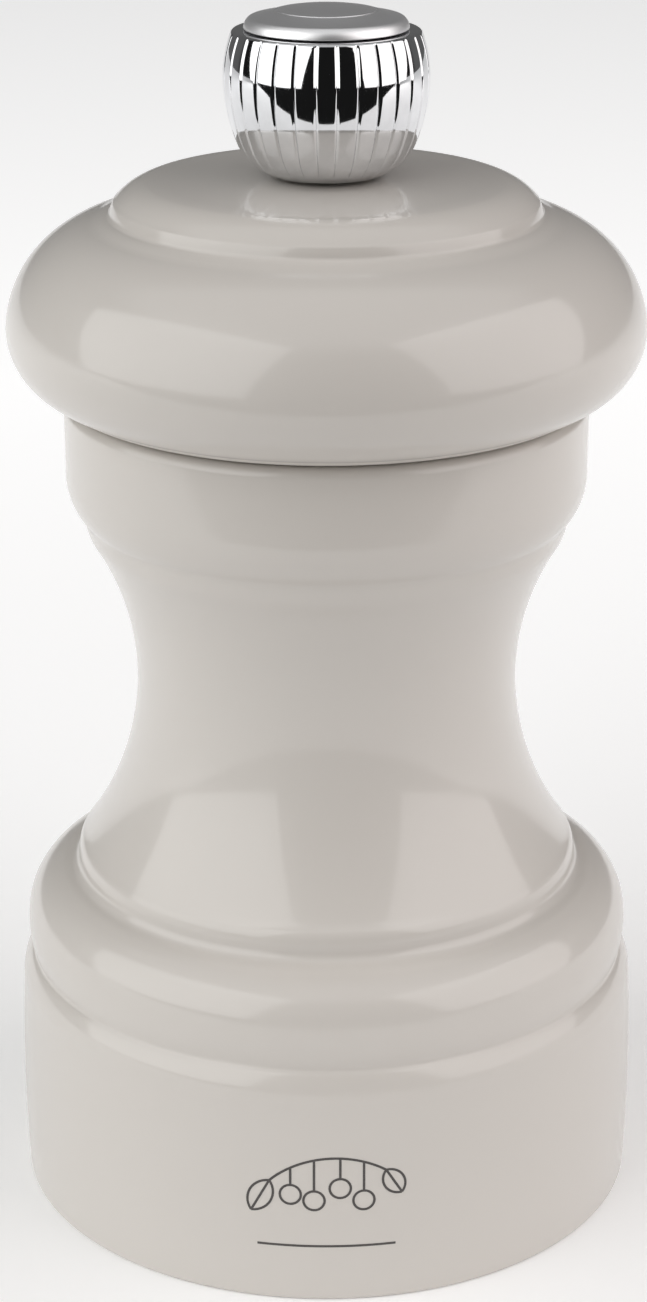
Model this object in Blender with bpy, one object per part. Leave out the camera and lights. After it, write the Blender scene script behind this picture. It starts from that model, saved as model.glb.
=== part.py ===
"""Small table pepper mill, built from its separate pieces.

The frame has +Z up and its origin on the table, at the middle of the base. Lengths below are in
millimetres and are turned into metres where a mesh is made. Each outline is a closed run of
(radius, height) points, and arcs are given by the three points they pass through.
"""

import math

import bmesh
import bpy

MM = 0.001
GAP = 0.3                    # clearance between pieces that touch on the real mill

# Overall sizes
TOTAL_HEIGHT = 100.5
BASE_RADIUS = 26.15
NECK_RADIUS = 15.9
COLLAR_RADIUS = 21.5
HEAD_RADIUS = 26.0
KNOB_RADIUS = 8.26

# Heights of the turned mouldings on the body
SHOULDER_FOOT = 17.6
RING_FOOT = 20.5
STEP_FOOT = 27.66
BELL_FOOT = 30.3
NECK_HEIGHT = 44.1
COLLAR_FOOT = 58.9
BODY_TOP = 68.8

# Bores inside the body
RECESS_RADIUS = 19.5
RECESS_TOP = 5.0
LOWER_BORE_RADIUS = 14.0
LEDGE_HEIGHT = 30.1
CHAMBER_RADIUS = 12.4
MOUTH_RADIUS = 16.2
MOUTH_FLOOR = 62.0

# Head
HEAD_FOOT = BODY_TOP + GAP
SPIGOT_RADIUS = 15.7
SPIGOT_FOOT = 62.5
HEAD_STEP = 83.95
HEAD_TOP = 86.85
HEAD_BORE_RADIUS = 3.9
HEAD_NECK_BORE_RADIUS = 3.0
HEAD_NECK_BORE_FOOT = 80.5

# Knob
KNOB_FOOT = HEAD_TOP + GAP
KNOB_POCKET_RADIUS = 3.9
KNOB_POCKET_TOP = 96.8
KNOB_WIDEST = 94.9
KNOB_TOP = 98.6
KNOB_FLUTES = 30
FLUTE_DEPTH = 0.35
CAP_RADIUS = 6.58
CAP_STUD_RADIUS = 4.5
CAP_FOOT = 98.1

# Shaft
SHAFT_SIDE = 4.8
THREAD_RADIUS = 2.45
SHAFT_FOOT = 1.5
SHOULDER_HEIGHT = 4.1
SQUARE_TOP = 79.0
SHAFT_TOP = 95.7
FOOT_RADIUS = 2.2
CLIP_GROOVE_RADIUS = 1.6
CLIP_GROOVE = (1.9, 2.9)

# Grinding mechanism
HOUSING_WALL = 0.8
HOUSING_RADIUS = 13.7
HOUSING_TOP = 16.1
FLANGE_RADIUS = 18.6
FLANGE_TOP = RECESS_TOP - GAP
MECHANISM_SCREWS = 3
MECHANISM_SCREW_CIRCLE = 16.2
BURR_RING_RADIUS = 12.6
BURR_RING_SPAN = (4.9, 15.0)
RING_TEETH = 24
CONE_TEETH = 14
CONE_TWIST = math.radians(50)
CONE_TOP = 17.5
BRIDGE_TOP = LEDGE_HEIGHT - GAP
BRIDGE_WIDTH = 8.0
BRIDGE_REACH = 12.9
BRIDGE_THICKNESS = 0.9
BUSH_BORE_RADIUS = 3.7
BUSH_RADIUS = 4.6
SEAT_TOP = 28.2
SPRING_RADIUS = 4.35
SPRING_WIRE = 0.5
SPRING_TURNS = 4

# Drive plate under the head
PLATE_RADIUS = 11.0
PLATE_TOP = SPIGOT_FOOT - GAP
PLATE_THICKNESS = 0.8
PLATE_SCREW_CIRCLE = 7.8

TURNED_SEGMENTS = 40
SMALL_SEGMENTS = 20


def clear_scene():
    """Remove everything that is in the scene."""
    for item in list(bpy.data.objects):
        bpy.data.objects.remove(item, do_unlink=True)


def make_material(name, colour, roughness, metallic):
    """A Principled material from a linear colour."""
    mat = bpy.data.materials.new(name)
    mat.use_nodes = True
    shader = mat.node_tree.nodes["Principled BSDF"]
    shader.inputs["Base Color"].default_value = (*colour, 1.0)
    shader.inputs["Roughness"].default_value = roughness
    shader.inputs["Metallic"].default_value = metallic
    return mat


def make_materials():
    """One finish for each kind of piece."""
    return {
        "lacquer": make_material("lacquered_wood", (0.61, 0.59, 0.55), 0.12, 0.0),
        "chrome": make_material("polished_chrome", (0.78, 0.78, 0.79), 0.06, 1.0),
        "satin": make_material("satin_chrome", (0.72, 0.72, 0.73), 0.3, 1.0),
        "steel": make_material("plain_steel", (0.55, 0.55, 0.56), 0.35, 1.0),
        "hard_steel": make_material("hardened_steel", (0.24, 0.24, 0.25), 0.45, 1.0),
        "aluminium": make_material("drawn_aluminium", (0.7, 0.7, 0.71), 0.3, 1.0),
        "brass": make_material("brass", (0.75, 0.56, 0.25), 0.25, 1.0),
        "nylon": make_material("nylon", (0.75, 0.74, 0.7), 0.5, 0.0),
    }


def arc(first, middle, last, steps):
    """Points on the circle through three points, after the first and up to the last."""
    (ax, ay), (bx, by), (cx, cy) = first, middle, last
    turn = 2 * (ax * (by - cy) + bx * (cy - ay) + cx * (ay - by))
    sa = ax * ax + ay * ay
    sb = bx * bx + by * by
    sc = cx * cx + cy * cy
    ox = (sa * (by - cy) + sb * (cy - ay) + sc * (ay - by)) / turn
    oy = (sa * (cx - bx) + sb * (ax - cx) + sc * (bx - ax)) / turn
    radius = math.hypot(ax - ox, ay - oy)
    start = math.atan2(ay - oy, ax - ox)
    via = (math.atan2(by - oy, bx - ox) - start) % math.tau
    end = (math.atan2(cy - oy, cx - ox) - start) % math.tau
    if via > end:
        end -= math.tau
    angles = [start + end * i / steps for i in range(1, steps + 1)]
    return [(ox + radius * math.cos(a), oy + radius * math.sin(a)) for a in angles]


def finish_mesh(bm, name, mat):
    """Close up a bmesh in millimetres, turn its faces out and make it an object in metres."""
    bmesh.ops.remove_doubles(bm, verts=bm.verts, dist=0.001)
    bmesh.ops.scale(bm, vec=(MM, MM, MM), verts=bm.verts)
    bmesh.ops.recalc_face_normals(bm, faces=bm.faces)
    mesh = bpy.data.meshes.new(name)
    bm.to_mesh(mesh)
    bm.free()
    mesh.shade_smooth()
    mesh.set_sharp_from_angle(angle=math.radians(35))
    obj = bpy.data.objects.new(name, mesh)
    bpy.context.scene.collection.objects.link(obj)
    if mat is not None:
        mesh.materials.append(mat)
    return obj


def turned(name, outline, mat, segments=TURNED_SEGMENTS):
    """Revolve a closed (radius, height) outline about Z."""
    bm = bmesh.new()
    verts = [bm.verts.new((r, 0.0, z)) for r, z in outline]
    edges = [bm.edges.new((verts[i], verts[i + 1])) for i in range(len(verts) - 1)]
    if outline[0][0] > 0 or outline[-1][0] > 0:
        edges.append(bm.edges.new((verts[-1], verts[0])))
    bmesh.ops.spin(bm, geom=verts + edges, cent=(0, 0, 0), axis=(0, 0, 1),
                   angle=math.tau, steps=segments, use_merge=True)
    return finish_mesh(bm, name, mat)


def lofted(name, sections, mat):
    """A ring-shaped or solid body through closed sections of equal length, in order."""
    bm = bmesh.new()
    loops = [[bm.verts.new(point) for point in section] for section in sections]
    count = len(loops[0])
    for lower, upper in zip(loops, loops[1:]):
        for i in range(count):
            j = (i + 1) % count
            bm.faces.new((lower[i], lower[j], upper[j], upper[i]))
    if sections[0] != sections[-1]:
        bm.faces.new(loops[0])
        bm.faces.new(loops[-1])
    return finish_mesh(bm, name, mat)


def polygon(radius, height, sides, turn=0.0):
    """A regular polygon's points at one height."""
    angles = [turn + math.tau * i / sides for i in range(sides)]
    return [(radius * math.cos(a), radius * math.sin(a), height) for a in angles]


def prism(name, radius, low, high, sides, centre=(0.0, 0.0), turn=0.0):
    """A plain prism, used for cutting."""
    sections = []
    for height in (low, high):
        points = polygon(radius, height, sides, turn)
        sections.append([(x + centre[0], y + centre[1], z) for x, y, z in points])
    return lofted(name, sections, None)


def box(name, low, high, mat=None):
    """A box between two corners."""
    sections = []
    for z in (low[2], high[2]):
        sections.append([(low[0], low[1], z), (high[0], low[1], z),
                         (high[0], high[1], z), (low[0], high[1], z)])
    return lofted(name, sections, mat)


def combine(obj, other, operation):
    """Apply one exact Boolean and drop the other object."""
    modifier = obj.modifiers.new(operation.lower(), "BOOLEAN")
    modifier.operation = operation
    modifier.solver = "EXACT"
    modifier.object = other
    depsgraph = bpy.context.evaluated_depsgraph_get()
    mesh = bpy.data.meshes.new_from_object(obj.evaluated_get(depsgraph), depsgraph=depsgraph)
    obj.modifiers.clear()
    obj.data = mesh
    bpy.data.objects.remove(other, do_unlink=True)
    mesh.shade_smooth()
    mesh.set_sharp_from_angle(angle=math.radians(35))


def cut(obj, cutter):
    """Subtract a cutter."""
    combine(obj, cutter, "DIFFERENCE")


def square_hole(obj, side, low, high):
    """Cut a square hole of the given side along Z."""
    cut(obj, prism("square_cutter", side / math.sqrt(2), low, high, 4, turn=math.pi / 4))


def on_circle(radius, index, count, start=0.0):
    """The place of one of several pieces spaced evenly round Z."""
    angle = start + math.tau * index / count
    return radius * math.cos(angle), radius * math.sin(angle)


def make_body(mats):
    """Turned body: base, ovolo ring, bell-shaped waist, neck and collar."""
    outline = [(RECESS_RADIUS, 0.0), (BASE_RADIUS - 0.3, 0.0)]
    outline += arc(outline[-1], (BASE_RADIUS - 0.1, 0.1), (BASE_RADIUS - 0.02, 0.35), 2)
    outline += arc(outline[-1], (BASE_RADIUS + 0.22, 9.0), (BASE_RADIUS, SHOULDER_FOOT), 3)
    outline += arc(outline[-1], (25.93, 19.1), (25.38, 20.1), 3)
    outline += [(25.2, RING_FOOT)]
    outline += arc(outline[-1], (25.58, 22.5), (25.45, 24.3), 3)
    outline += arc(outline[-1], (24.6, 26.1), (22.9, 27.35), 4)
    outline += [(22.0, STEP_FOOT)]
    outline += arc(outline[-1], (21.4, 27.95), (21.12, 28.5), 2)
    outline += [(21.12, 29.4)]
    outline += arc(outline[-1], (20.92, 29.92), (20.62, BELL_FOOT), 2)
    outline += arc(outline[-1], (17.72, 35.6), (NECK_RADIUS, NECK_HEIGHT), 6)
    outline += arc(outline[-1], (16.9, 51.4), (19.55, 57.2), 5)
    outline += [(19.8, COLLAR_FOOT - 0.7), (20.1, COLLAR_FOOT)]
    outline += arc(outline[-1], (21.1, 60.6), (COLLAR_RADIUS - 0.05, 63.1), 3)
    outline += [(COLLAR_RADIUS, BODY_TOP - 0.4), (COLLAR_RADIUS - 0.4, BODY_TOP)]
    outline += [(MOUTH_RADIUS + 0.4, BODY_TOP), (MOUTH_RADIUS, BODY_TOP - 0.4)]
    outline += [(MOUTH_RADIUS, MOUTH_FLOOR), (CHAMBER_RADIUS + 1.0, MOUTH_FLOOR)]
    outline += [(CHAMBER_RADIUS, MOUTH_FLOOR - 1.0), (CHAMBER_RADIUS, LEDGE_HEIGHT)]
    outline += [(LOWER_BORE_RADIUS, LEDGE_HEIGHT), (LOWER_BORE_RADIUS, RECESS_TOP)]
    outline += [(RECESS_RADIUS, RECESS_TOP)]
    body = turned("body", outline, mats["lacquer"])
    for i in range(MECHANISM_SCREWS):
        place = on_circle(MECHANISM_SCREW_CIRCLE, i, MECHANISM_SCREWS, math.pi / 2)
        cut(body, prism("pilot_cutter", 1.35, RECESS_TOP - 1.0, 12.5, 8, place))
    return body


def make_head(mats):
    """Turned head: spigot, wide bulge, small step and domed top."""
    outline = [(HEAD_BORE_RADIUS, SPIGOT_FOOT), (SPIGOT_RADIUS - 0.5, SPIGOT_FOOT)]
    outline += [(SPIGOT_RADIUS, SPIGOT_FOOT + 0.5), (SPIGOT_RADIUS, HEAD_FOOT)]
    outline += [(COLLAR_RADIUS - 0.1, HEAD_FOOT)]
    outline += arc(outline[-1], (21.75, HEAD_FOOT + 0.1), (22.1, HEAD_FOOT + 0.4), 2)
    outline += arc(outline[-1], (25.05, 71.7), (HEAD_RADIUS, 74.9), 4)
    outline += arc(outline[-1], (24.05, 80.1), (19.0, 83.35), 6)
    outline += [(17.7, HEAD_STEP), (17.4, HEAD_STEP + 0.35), (17.2, HEAD_STEP + 0.9)]
    outline += arc(outline[-1], (16.2, 85.78), (14.4, 86.5), 3)
    outline += arc(outline[-1], (9.0, 86.75), (HEAD_NECK_BORE_RADIUS + 0.2, HEAD_TOP), 2)
    outline += [(HEAD_NECK_BORE_RADIUS, HEAD_TOP - 0.2), (HEAD_NECK_BORE_RADIUS, HEAD_NECK_BORE_FOOT)]
    outline += [(HEAD_BORE_RADIUS, HEAD_NECK_BORE_FOOT)]
    head = turned("head", outline, mats["lacquer"])
    for i in range(2):
        place = on_circle(PLATE_SCREW_CIRCLE, i, 2)
        cut(head, prism("pilot_cutter", 1.2, SPIGOT_FOOT - 1.0, 69.0, 8, place))
    return head


def make_knob(mats):
    """Round knob with narrow flutes, a seat for the cap at the top and a pocket underneath."""
    steps_per_flute = 2
    count = KNOB_FLUTES * steps_per_flute
    side = arc((4.5, KNOB_FOOT), (6.4, 88.4), (7.25, 89.8), 3)
    side += arc(side[-1], (8.0, 92.3), (KNOB_RADIUS, KNOB_WIDEST), 3)
    side += arc(side[-1], (KNOB_RADIUS - 0.16, 96.6), (KNOB_RADIUS - 0.66, KNOB_TOP - 0.25), 3)
    outline = [(4.5, KNOB_FOOT, 0.0)]
    outline += [(r, z, FLUTE_DEPTH) for r, z in side[:-1]]
    outline += [(*side[-1], FLUTE_DEPTH / 2), (7.3, KNOB_TOP, 0.0)]
    outline += [(CAP_STUD_RADIUS + GAP, KNOB_TOP, 0.0), (CAP_STUD_RADIUS + GAP, CAP_FOOT - GAP, 0.0)]
    bm = bmesh.new()
    loops = []
    for r, z, depth in outline:
        loop = []
        for i in range(count):
            angle = math.tau * i / count - math.pi / 2
            reach = r - (depth if i % steps_per_flute == 0 else 0.0)
            loop.append(bm.verts.new((reach * math.cos(angle), reach * math.sin(angle), z)))
        loops.append(loop)
    for lower, upper in zip(loops, loops[1:]):
        for i in range(count):
            j = (i + 1) % count
            bm.faces.new((lower[i], lower[j], upper[j], upper[i]))
    bm.faces.new(loops[0])
    bm.faces.new(loops[-1])
    knob = finish_mesh(bm, "knob", mats["chrome"])
    cut(knob, prism("pocket_cutter", KNOB_POCKET_RADIUS, KNOB_FOOT - 1.0, KNOB_POCKET_TOP, SMALL_SEGMENTS))
    return knob


def make_knob_cap(mats):
    """Slightly domed cap with a steep edge, whose stud sits in the top of the knob."""
    seat = KNOB_TOP + GAP
    outline = [(0.0, CAP_FOOT), (CAP_STUD_RADIUS, CAP_FOOT), (CAP_STUD_RADIUS, seat), (CAP_RADIUS, seat)]
    outline += arc(outline[-1], (CAP_RADIUS - 0.12, seat + 0.4), (CAP_RADIUS - 0.4, seat + 0.65), 2)
    outline += arc(outline[-1], (3.0, 100.25), (0.0, TOTAL_HEIGHT), 3)
    return turned("knob_cap", outline, mats["satin"], 36)


def make_knob_insert(mats):
    """Threaded insert in the knob's pocket."""
    radius = KNOB_POCKET_RADIUS - GAP
    outline = [(THREAD_RADIUS + GAP, 88.3), (radius, 88.3), (radius, 96.5), (THREAD_RADIUS + GAP, 96.5)]
    return turned("knob_insert", outline, mats["brass"], SMALL_SEGMENTS)


def make_knob_washer(mats):
    """Friction washer held in the mouth of the knob's pocket."""
    radius = KNOB_POCKET_RADIUS - GAP
    outline = [(2.85, KNOB_FOOT), (radius, KNOB_FOOT), (radius, 87.9), (2.85, 87.9)]
    return turned("knob_washer", outline, mats["nylon"], SMALL_SEGMENTS)


def make_shaft(mats):
    """Square rod with a round threaded top and a turned foot with a clip groove."""
    outline = [(0.0, SHAFT_FOOT), (FOOT_RADIUS - 0.3, SHAFT_FOOT), (FOOT_RADIUS, SHAFT_FOOT + 0.2)]
    outline += [(FOOT_RADIUS, CLIP_GROOVE[0]), (CLIP_GROOVE_RADIUS, CLIP_GROOVE[0])]
    outline += [(CLIP_GROOVE_RADIUS, CLIP_GROOVE[1]), (FOOT_RADIUS, CLIP_GROOVE[1])]
    outline += [(FOOT_RADIUS, SHOULDER_HEIGHT + 0.5), (THREAD_RADIUS - 0.2, SHOULDER_HEIGHT + 0.5)]
    outline += [(THREAD_RADIUS - 0.2, SQUARE_TOP - 0.5), (THREAD_RADIUS, SQUARE_TOP - 0.5)]
    outline += [(THREAD_RADIUS, SHAFT_TOP - 0.5), (THREAD_RADIUS - 0.5, SHAFT_TOP), (0.0, SHAFT_TOP)]
    shaft = turned("shaft", outline, mats["aluminium"], SMALL_SEGMENTS)
    reach = SHAFT_SIDE / 2
    rod = box("square_rod", (-reach, -reach, SHOULDER_HEIGHT), (reach, reach, SQUARE_TOP))
    combine(shaft, rod, "UNION")
    return shaft


def make_shaft_washer(mats):
    """Flat washer under the burr cone."""
    outline = [(FOOT_RADIUS + GAP, 3.0), (5.2, 3.0), (5.2, 3.8), (FOOT_RADIUS + GAP, 3.8)]
    return turned("shaft_washer", outline, mats["steel"], SMALL_SEGMENTS)


def make_shaft_circlip(mats):
    """Open retaining clip in the groove of the shaft's foot."""
    bore = CLIP_GROOVE_RADIUS + GAP
    outline = [(bore, 2.15), (3.7, 2.15), (3.7, 2.65), (bore, 2.65)]
    clip = turned("shaft_circlip", outline, mats["hard_steel"], SMALL_SEGMENTS)
    cut(clip, box("clip_cutter", (-1.3, -5.0, 1.0), (1.3, 0.0, 4.0)))
    return clip


def toothed(radius, root, height, teeth, turn):
    """A zigzag section of alternating crests and roots."""
    points = []
    for i in range(2 * teeth):
        reach = radius if i % 2 == 0 else root
        angle = turn + math.pi * i / teeth
        points.append((reach * math.cos(angle), reach * math.sin(angle), height))
    return points


def make_burr_cone(mats):
    """Male burr: a cone with helical teeth, wider at the foot, on the square of the shaft."""
    low = SHOULDER_HEIGHT
    stations = [(low, 8.9, 8.2), (6.5, 8.6, 7.8), (9.0, 8.2, 7.1), (12.0, 7.4, 5.9)]
    stations += [(15.0, 6.4, 5.2), (CONE_TOP, 5.5, 5.0)]
    sections = []
    for height, crest, root in stations:
        turn = CONE_TWIST * (height - low) / (CONE_TOP - low)
        sections.append(toothed(crest, root, height, CONE_TEETH, turn))
    cone = lofted("burr_cone", sections, mats["hard_steel"])
    square_hole(cone, SHAFT_SIDE + 2 * GAP, low - 1.0, CONE_TOP + 1.0)
    return cone


def make_burr_ring(mats):
    """Female burr: a ring with straight inner teeth and a funnel-shaped mouth."""
    low, high = BURR_RING_SPAN
    stations = [(low, 9.6, 10.2), (9.0, 8.9, 9.7), (high, 10.6, 11.6)]
    inner = [toothed(crest, root, height, RING_TEETH, 0.0) for height, crest, root in stations]
    outer = [polygon(BURR_RING_RADIUS, height, 2 * RING_TEETH) for height in (high, low)]
    return lofted("burr_ring", inner + outer + [inner[0]], mats["hard_steel"])


def make_mechanism_housing(mats):
    """Stamped cup with a flange, which holds the burr ring in the bottom of the body."""
    inner = HOUSING_RADIUS - HOUSING_WALL
    flange_foot = FLANGE_TOP - HOUSING_WALL
    outline = [(inner, flange_foot), (FLANGE_RADIUS, flange_foot), (FLANGE_RADIUS, FLANGE_TOP)]
    outline += [(HOUSING_RADIUS, FLANGE_TOP), (HOUSING_RADIUS, HOUSING_TOP), (10.9, HOUSING_TOP)]
    outline += [(10.9, HOUSING_TOP - HOUSING_WALL), (inner, HOUSING_TOP - HOUSING_WALL)]
    housing = turned("mechanism_housing", outline, mats["steel"])
    for i in range(MECHANISM_SCREWS):
        place = on_circle(MECHANISM_SCREW_CIRCLE, i, MECHANISM_SCREWS, math.pi / 2)
        cut(housing, prism("hole_cutter", 1.3, 1.0, 6.0, 12, place))
    return housing


def screw(name, mat, place, seat, head_radius, shank_radius, reach):
    """A cross-head screw under a plate: its head hangs below seat and its shank goes up by reach."""
    foot = seat - 0.5 * head_radius
    outline = [(0.0, foot), (0.6 * head_radius, foot)]
    outline += arc(outline[-1], (0.88 * head_radius, foot + 0.15 * head_radius), (head_radius, seat), 2)
    outline += [(shank_radius, seat), (shank_radius, seat + reach - shank_radius), (0.0, seat + reach)]
    obj = turned(name, outline, mat, 16)
    slot = 0.45 * head_radius
    for length, width in ((slot, 0.14 * head_radius), (0.14 * head_radius, slot)):
        low = (-length, -width, foot - 1.0)
        high = (length, width, foot + 0.2 * head_radius)
        cut(obj, box("slot_cutter", low, high))
    obj.location = (place[0] * MM, place[1] * MM, 0.0)
    return obj


def make_screws(mats):
    """Three screws hold the mechanism, and two hold the drive plate."""
    seat = FLANGE_TOP - HOUSING_WALL - GAP
    for i in range(MECHANISM_SCREWS):
        place = on_circle(MECHANISM_SCREW_CIRCLE, i, MECHANISM_SCREWS, math.pi / 2)
        screw(f"mechanism_screw_{i + 1}", mats["steel"], place, seat, 2.1, 1.0, 8.4)
    seat = PLATE_TOP - PLATE_THICKNESS - GAP
    for i in range(2):
        place = on_circle(PLATE_SCREW_CIRCLE, i, 2)
        screw(f"drive_plate_screw_{i + 1}", mats["steel"], place, seat, 1.9, 0.9, 7.4)


def make_bridge(mats):
    """Stamped bridge: a strip with a round boss across the bore, and two legs on the housing."""
    low = BRIDGE_TOP - BRIDGE_THICKNESS
    half = BRIDGE_WIDTH / 2
    bridge = box("bridge", (-BRIDGE_REACH, -half, low), (BRIDGE_REACH, half, BRIDGE_TOP), mats["steel"])
    combine(bridge, prism("boss", 7.4, low, BRIDGE_TOP, SMALL_SEGMENTS), "UNION")
    for side in (-1, 1):
        inner = side * (BRIDGE_REACH - BRIDGE_THICKNESS)
        outer = side * BRIDGE_REACH
        leg_low = (min(inner, outer), -half, HOUSING_TOP + GAP)
        leg_high = (max(inner, outer), half, BRIDGE_TOP)
        combine(bridge, box("leg", leg_low, leg_high), "UNION")
    cut(bridge, prism("bush_cutter", BUSH_RADIUS + GAP, low - 1.0, BRIDGE_TOP + 1.0, SMALL_SEGMENTS))
    return bridge


def make_bush(mats):
    """Flanged guide bush in the bridge."""
    seat = BRIDGE_TOP + GAP
    outline = [(BUSH_BORE_RADIUS, SEAT_TOP + GAP), (BUSH_RADIUS, SEAT_TOP + GAP), (BUSH_RADIUS, seat)]
    outline += [(6.4, seat), (6.4, seat + 0.9), (BUSH_BORE_RADIUS, seat + 0.9)]
    return turned("bush", outline, mats["nylon"], SMALL_SEGMENTS)


def make_thrust_washer(mats):
    """Spring seat with a square hole, turned by the shaft."""
    washer = prism("thrust_washer", 6.8, SEAT_TOP - 0.8, SEAT_TOP, SMALL_SEGMENTS)
    washer.data.materials.append(mats["steel"])
    square_hole(washer, SHAFT_SIDE + 2 * GAP, SEAT_TOP - 2.0, SEAT_TOP + 2.0)
    return washer


def make_spring(mats):
    """Compression spring between the burr cone and the thrust washer."""
    low = CONE_TOP + GAP + SPRING_WIRE
    high = SEAT_TOP - 0.8 - GAP - SPRING_WIRE
    steps = 14 * SPRING_TURNS
    sides = 6
    bm = bmesh.new()
    loops = []
    for i in range(steps + 1):
        angle = math.tau * SPRING_TURNS * i / steps
        height = low + (high - low) * i / steps
        loop = []
        for k in range(sides):
            around = math.tau * k / sides
            reach = SPRING_RADIUS + SPRING_WIRE * math.cos(around)
            point = (reach * math.cos(angle), reach * math.sin(angle), height + SPRING_WIRE * math.sin(around))
            loop.append(bm.verts.new(point))
        loops.append(loop)
    for lower, upper in zip(loops, loops[1:]):
        for k in range(sides):
            n = (k + 1) % sides
            bm.faces.new((lower[k], lower[n], upper[n], upper[k]))
    bm.faces.new(loops[0])
    bm.faces.new(loops[-1])
    return finish_mesh(bm, "spring", mats["steel"])


def make_drive_plate(mats):
    """Round plate under the head, with the square hole that turns the shaft."""
    low = PLATE_TOP - PLATE_THICKNESS
    plate = prism("drive_plate", PLATE_RADIUS, low, PLATE_TOP, 32)
    plate.data.materials.append(mats["steel"])
    square_hole(plate, SHAFT_SIDE + 2 * GAP, low - 1.0, PLATE_TOP + 1.0)
    for i in range(2):
        place = on_circle(PLATE_SCREW_CIRCLE, i, 2)
        cut(plate, prism("hole_cutter", 1.2, low - 1.0, PLATE_TOP + 1.0, 12, place))
    return plate


def main():
    clear_scene()
    mats = make_materials()
    make_body(mats)
    make_head(mats)
    make_knob(mats)
    make_knob_cap(mats)
    make_knob_insert(mats)
    make_knob_washer(mats)
    make_shaft(mats)
    make_shaft_washer(mats)
    make_shaft_circlip(mats)
    make_burr_cone(mats)
    make_burr_ring(mats)
    make_mechanism_housing(mats)
    make_screws(mats)
    make_bridge(mats)
    make_bush(mats)
    make_thrust_washer(mats)
    make_spring(mats)
    make_drive_plate(mats)


main()
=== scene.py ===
"""Looks of a small turned table pepper mill.

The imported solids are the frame. Every piece here is made round the same axis, +Z, with its origin on
the table at the middle of the base. Outlines are (radius, height) points in millimetres.
"""

import math

import bmesh
import bpy
from mathutils import Euler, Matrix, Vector


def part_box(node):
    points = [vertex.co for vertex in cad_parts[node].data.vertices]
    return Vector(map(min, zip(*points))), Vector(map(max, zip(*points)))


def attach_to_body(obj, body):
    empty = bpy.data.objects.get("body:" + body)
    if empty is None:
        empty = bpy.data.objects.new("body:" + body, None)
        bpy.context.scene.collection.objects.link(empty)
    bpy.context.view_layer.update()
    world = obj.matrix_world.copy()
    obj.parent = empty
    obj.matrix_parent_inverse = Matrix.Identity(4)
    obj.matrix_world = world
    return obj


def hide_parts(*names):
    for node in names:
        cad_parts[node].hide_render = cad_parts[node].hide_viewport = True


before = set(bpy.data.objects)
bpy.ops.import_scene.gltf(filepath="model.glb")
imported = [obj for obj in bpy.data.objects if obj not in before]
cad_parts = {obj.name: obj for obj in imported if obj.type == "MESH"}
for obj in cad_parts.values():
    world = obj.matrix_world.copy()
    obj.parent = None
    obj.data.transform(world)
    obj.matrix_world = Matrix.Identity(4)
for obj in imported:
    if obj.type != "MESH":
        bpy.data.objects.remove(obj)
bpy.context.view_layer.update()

bl_info = {
    "name": "Pepper Mill Looks",
    "version": (1, 0, 0),
    "blender": (4, 5, 0),
    "location": "3D View > Sidebar > Mill",
    "description": "Makes the finished surfaces of a turned pepper mill round its packed solids",
    "category": "Object",
}

MM = 0.001
TABLE_HEIGHT = 0.0
FINE = 256                     # steps round a large turned piece
MEDIUM = 96                    # steps round a small turned piece
FLUTES = 30
STEPS_PER_FLUTE = 24
THREAD_PITCH = 0.8
SCREW_PITCH = 0.7
CONE_TURN = 13.4               # height in which the cone's teeth twist by two teeth, in millimetres
MIX_COLOUR_A, MIX_COLOUR_B, MIX_COLOUR_OUT = 6, 7, 2    # the colour sockets of a Mix node
GLOW_FROM, GLOW_TO = -0.04, 0.25                        # the floor's glow rises between these Y, in metres
GLOW_FRONT, GLOW_BACK = 0.08, 0.40


def low(node):
    """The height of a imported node's underside, in millimetres."""
    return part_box(node)[0].z / MM


def high(node):
    """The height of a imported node's top, in millimetres."""
    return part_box(node)[1].z / MM


def reach(node):
    """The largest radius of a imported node, in millimetres."""
    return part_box(node)[1].x / MM


def linear(code):
    """An sRGB hex colour as linear red, green and blue."""
    shares = [int(code[i:i + 2], 16) / 255 for i in (1, 3, 5)]
    return tuple(s / 12.92 if s <= 0.04045 else ((s + 0.055) / 1.055) ** 2.4 for s in shares)


# Settings that a user would change

class MillWood(bpy.types.PropertyGroup):
    """Sizes and colours of the lacquered wood."""
    base_radius: bpy.props.FloatProperty(
        name="Base radius", description="Radius at the top of the base", default=0.02615, unit="LENGTH")
    neck_radius: bpy.props.FloatProperty(
        name="Neck radius", description="Radius at the narrowest point", default=0.0159, unit="LENGTH")
    collar_radius: bpy.props.FloatProperty(
        name="Collar radius", description="Radius of the straight collar", default=0.0215, unit="LENGTH")
    head_radius: bpy.props.FloatProperty(
        name="Head radius", description="Largest radius of the head", default=0.026, unit="LENGTH")
    lacquer: bpy.props.FloatVectorProperty(
        name="Lacquer", description="Colour of the gloss lacquer", default=linear("#D0CBC5"),
        size=3, subtype="COLOR", min=0.0, max=1.0)
    beech: bpy.props.FloatVectorProperty(
        name="Bare wood", description="Colour of the bare beech in the bores", default=linear("#CDAA7D"),
        size=3, subtype="COLOR", min=0.0, max=1.0)
    ink: bpy.props.FloatVectorProperty(
        name="Ink", description="Colour of the printed mark", default=linear("#34302E"),
        size=3, subtype="COLOR", min=0.0, max=1.0)


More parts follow.
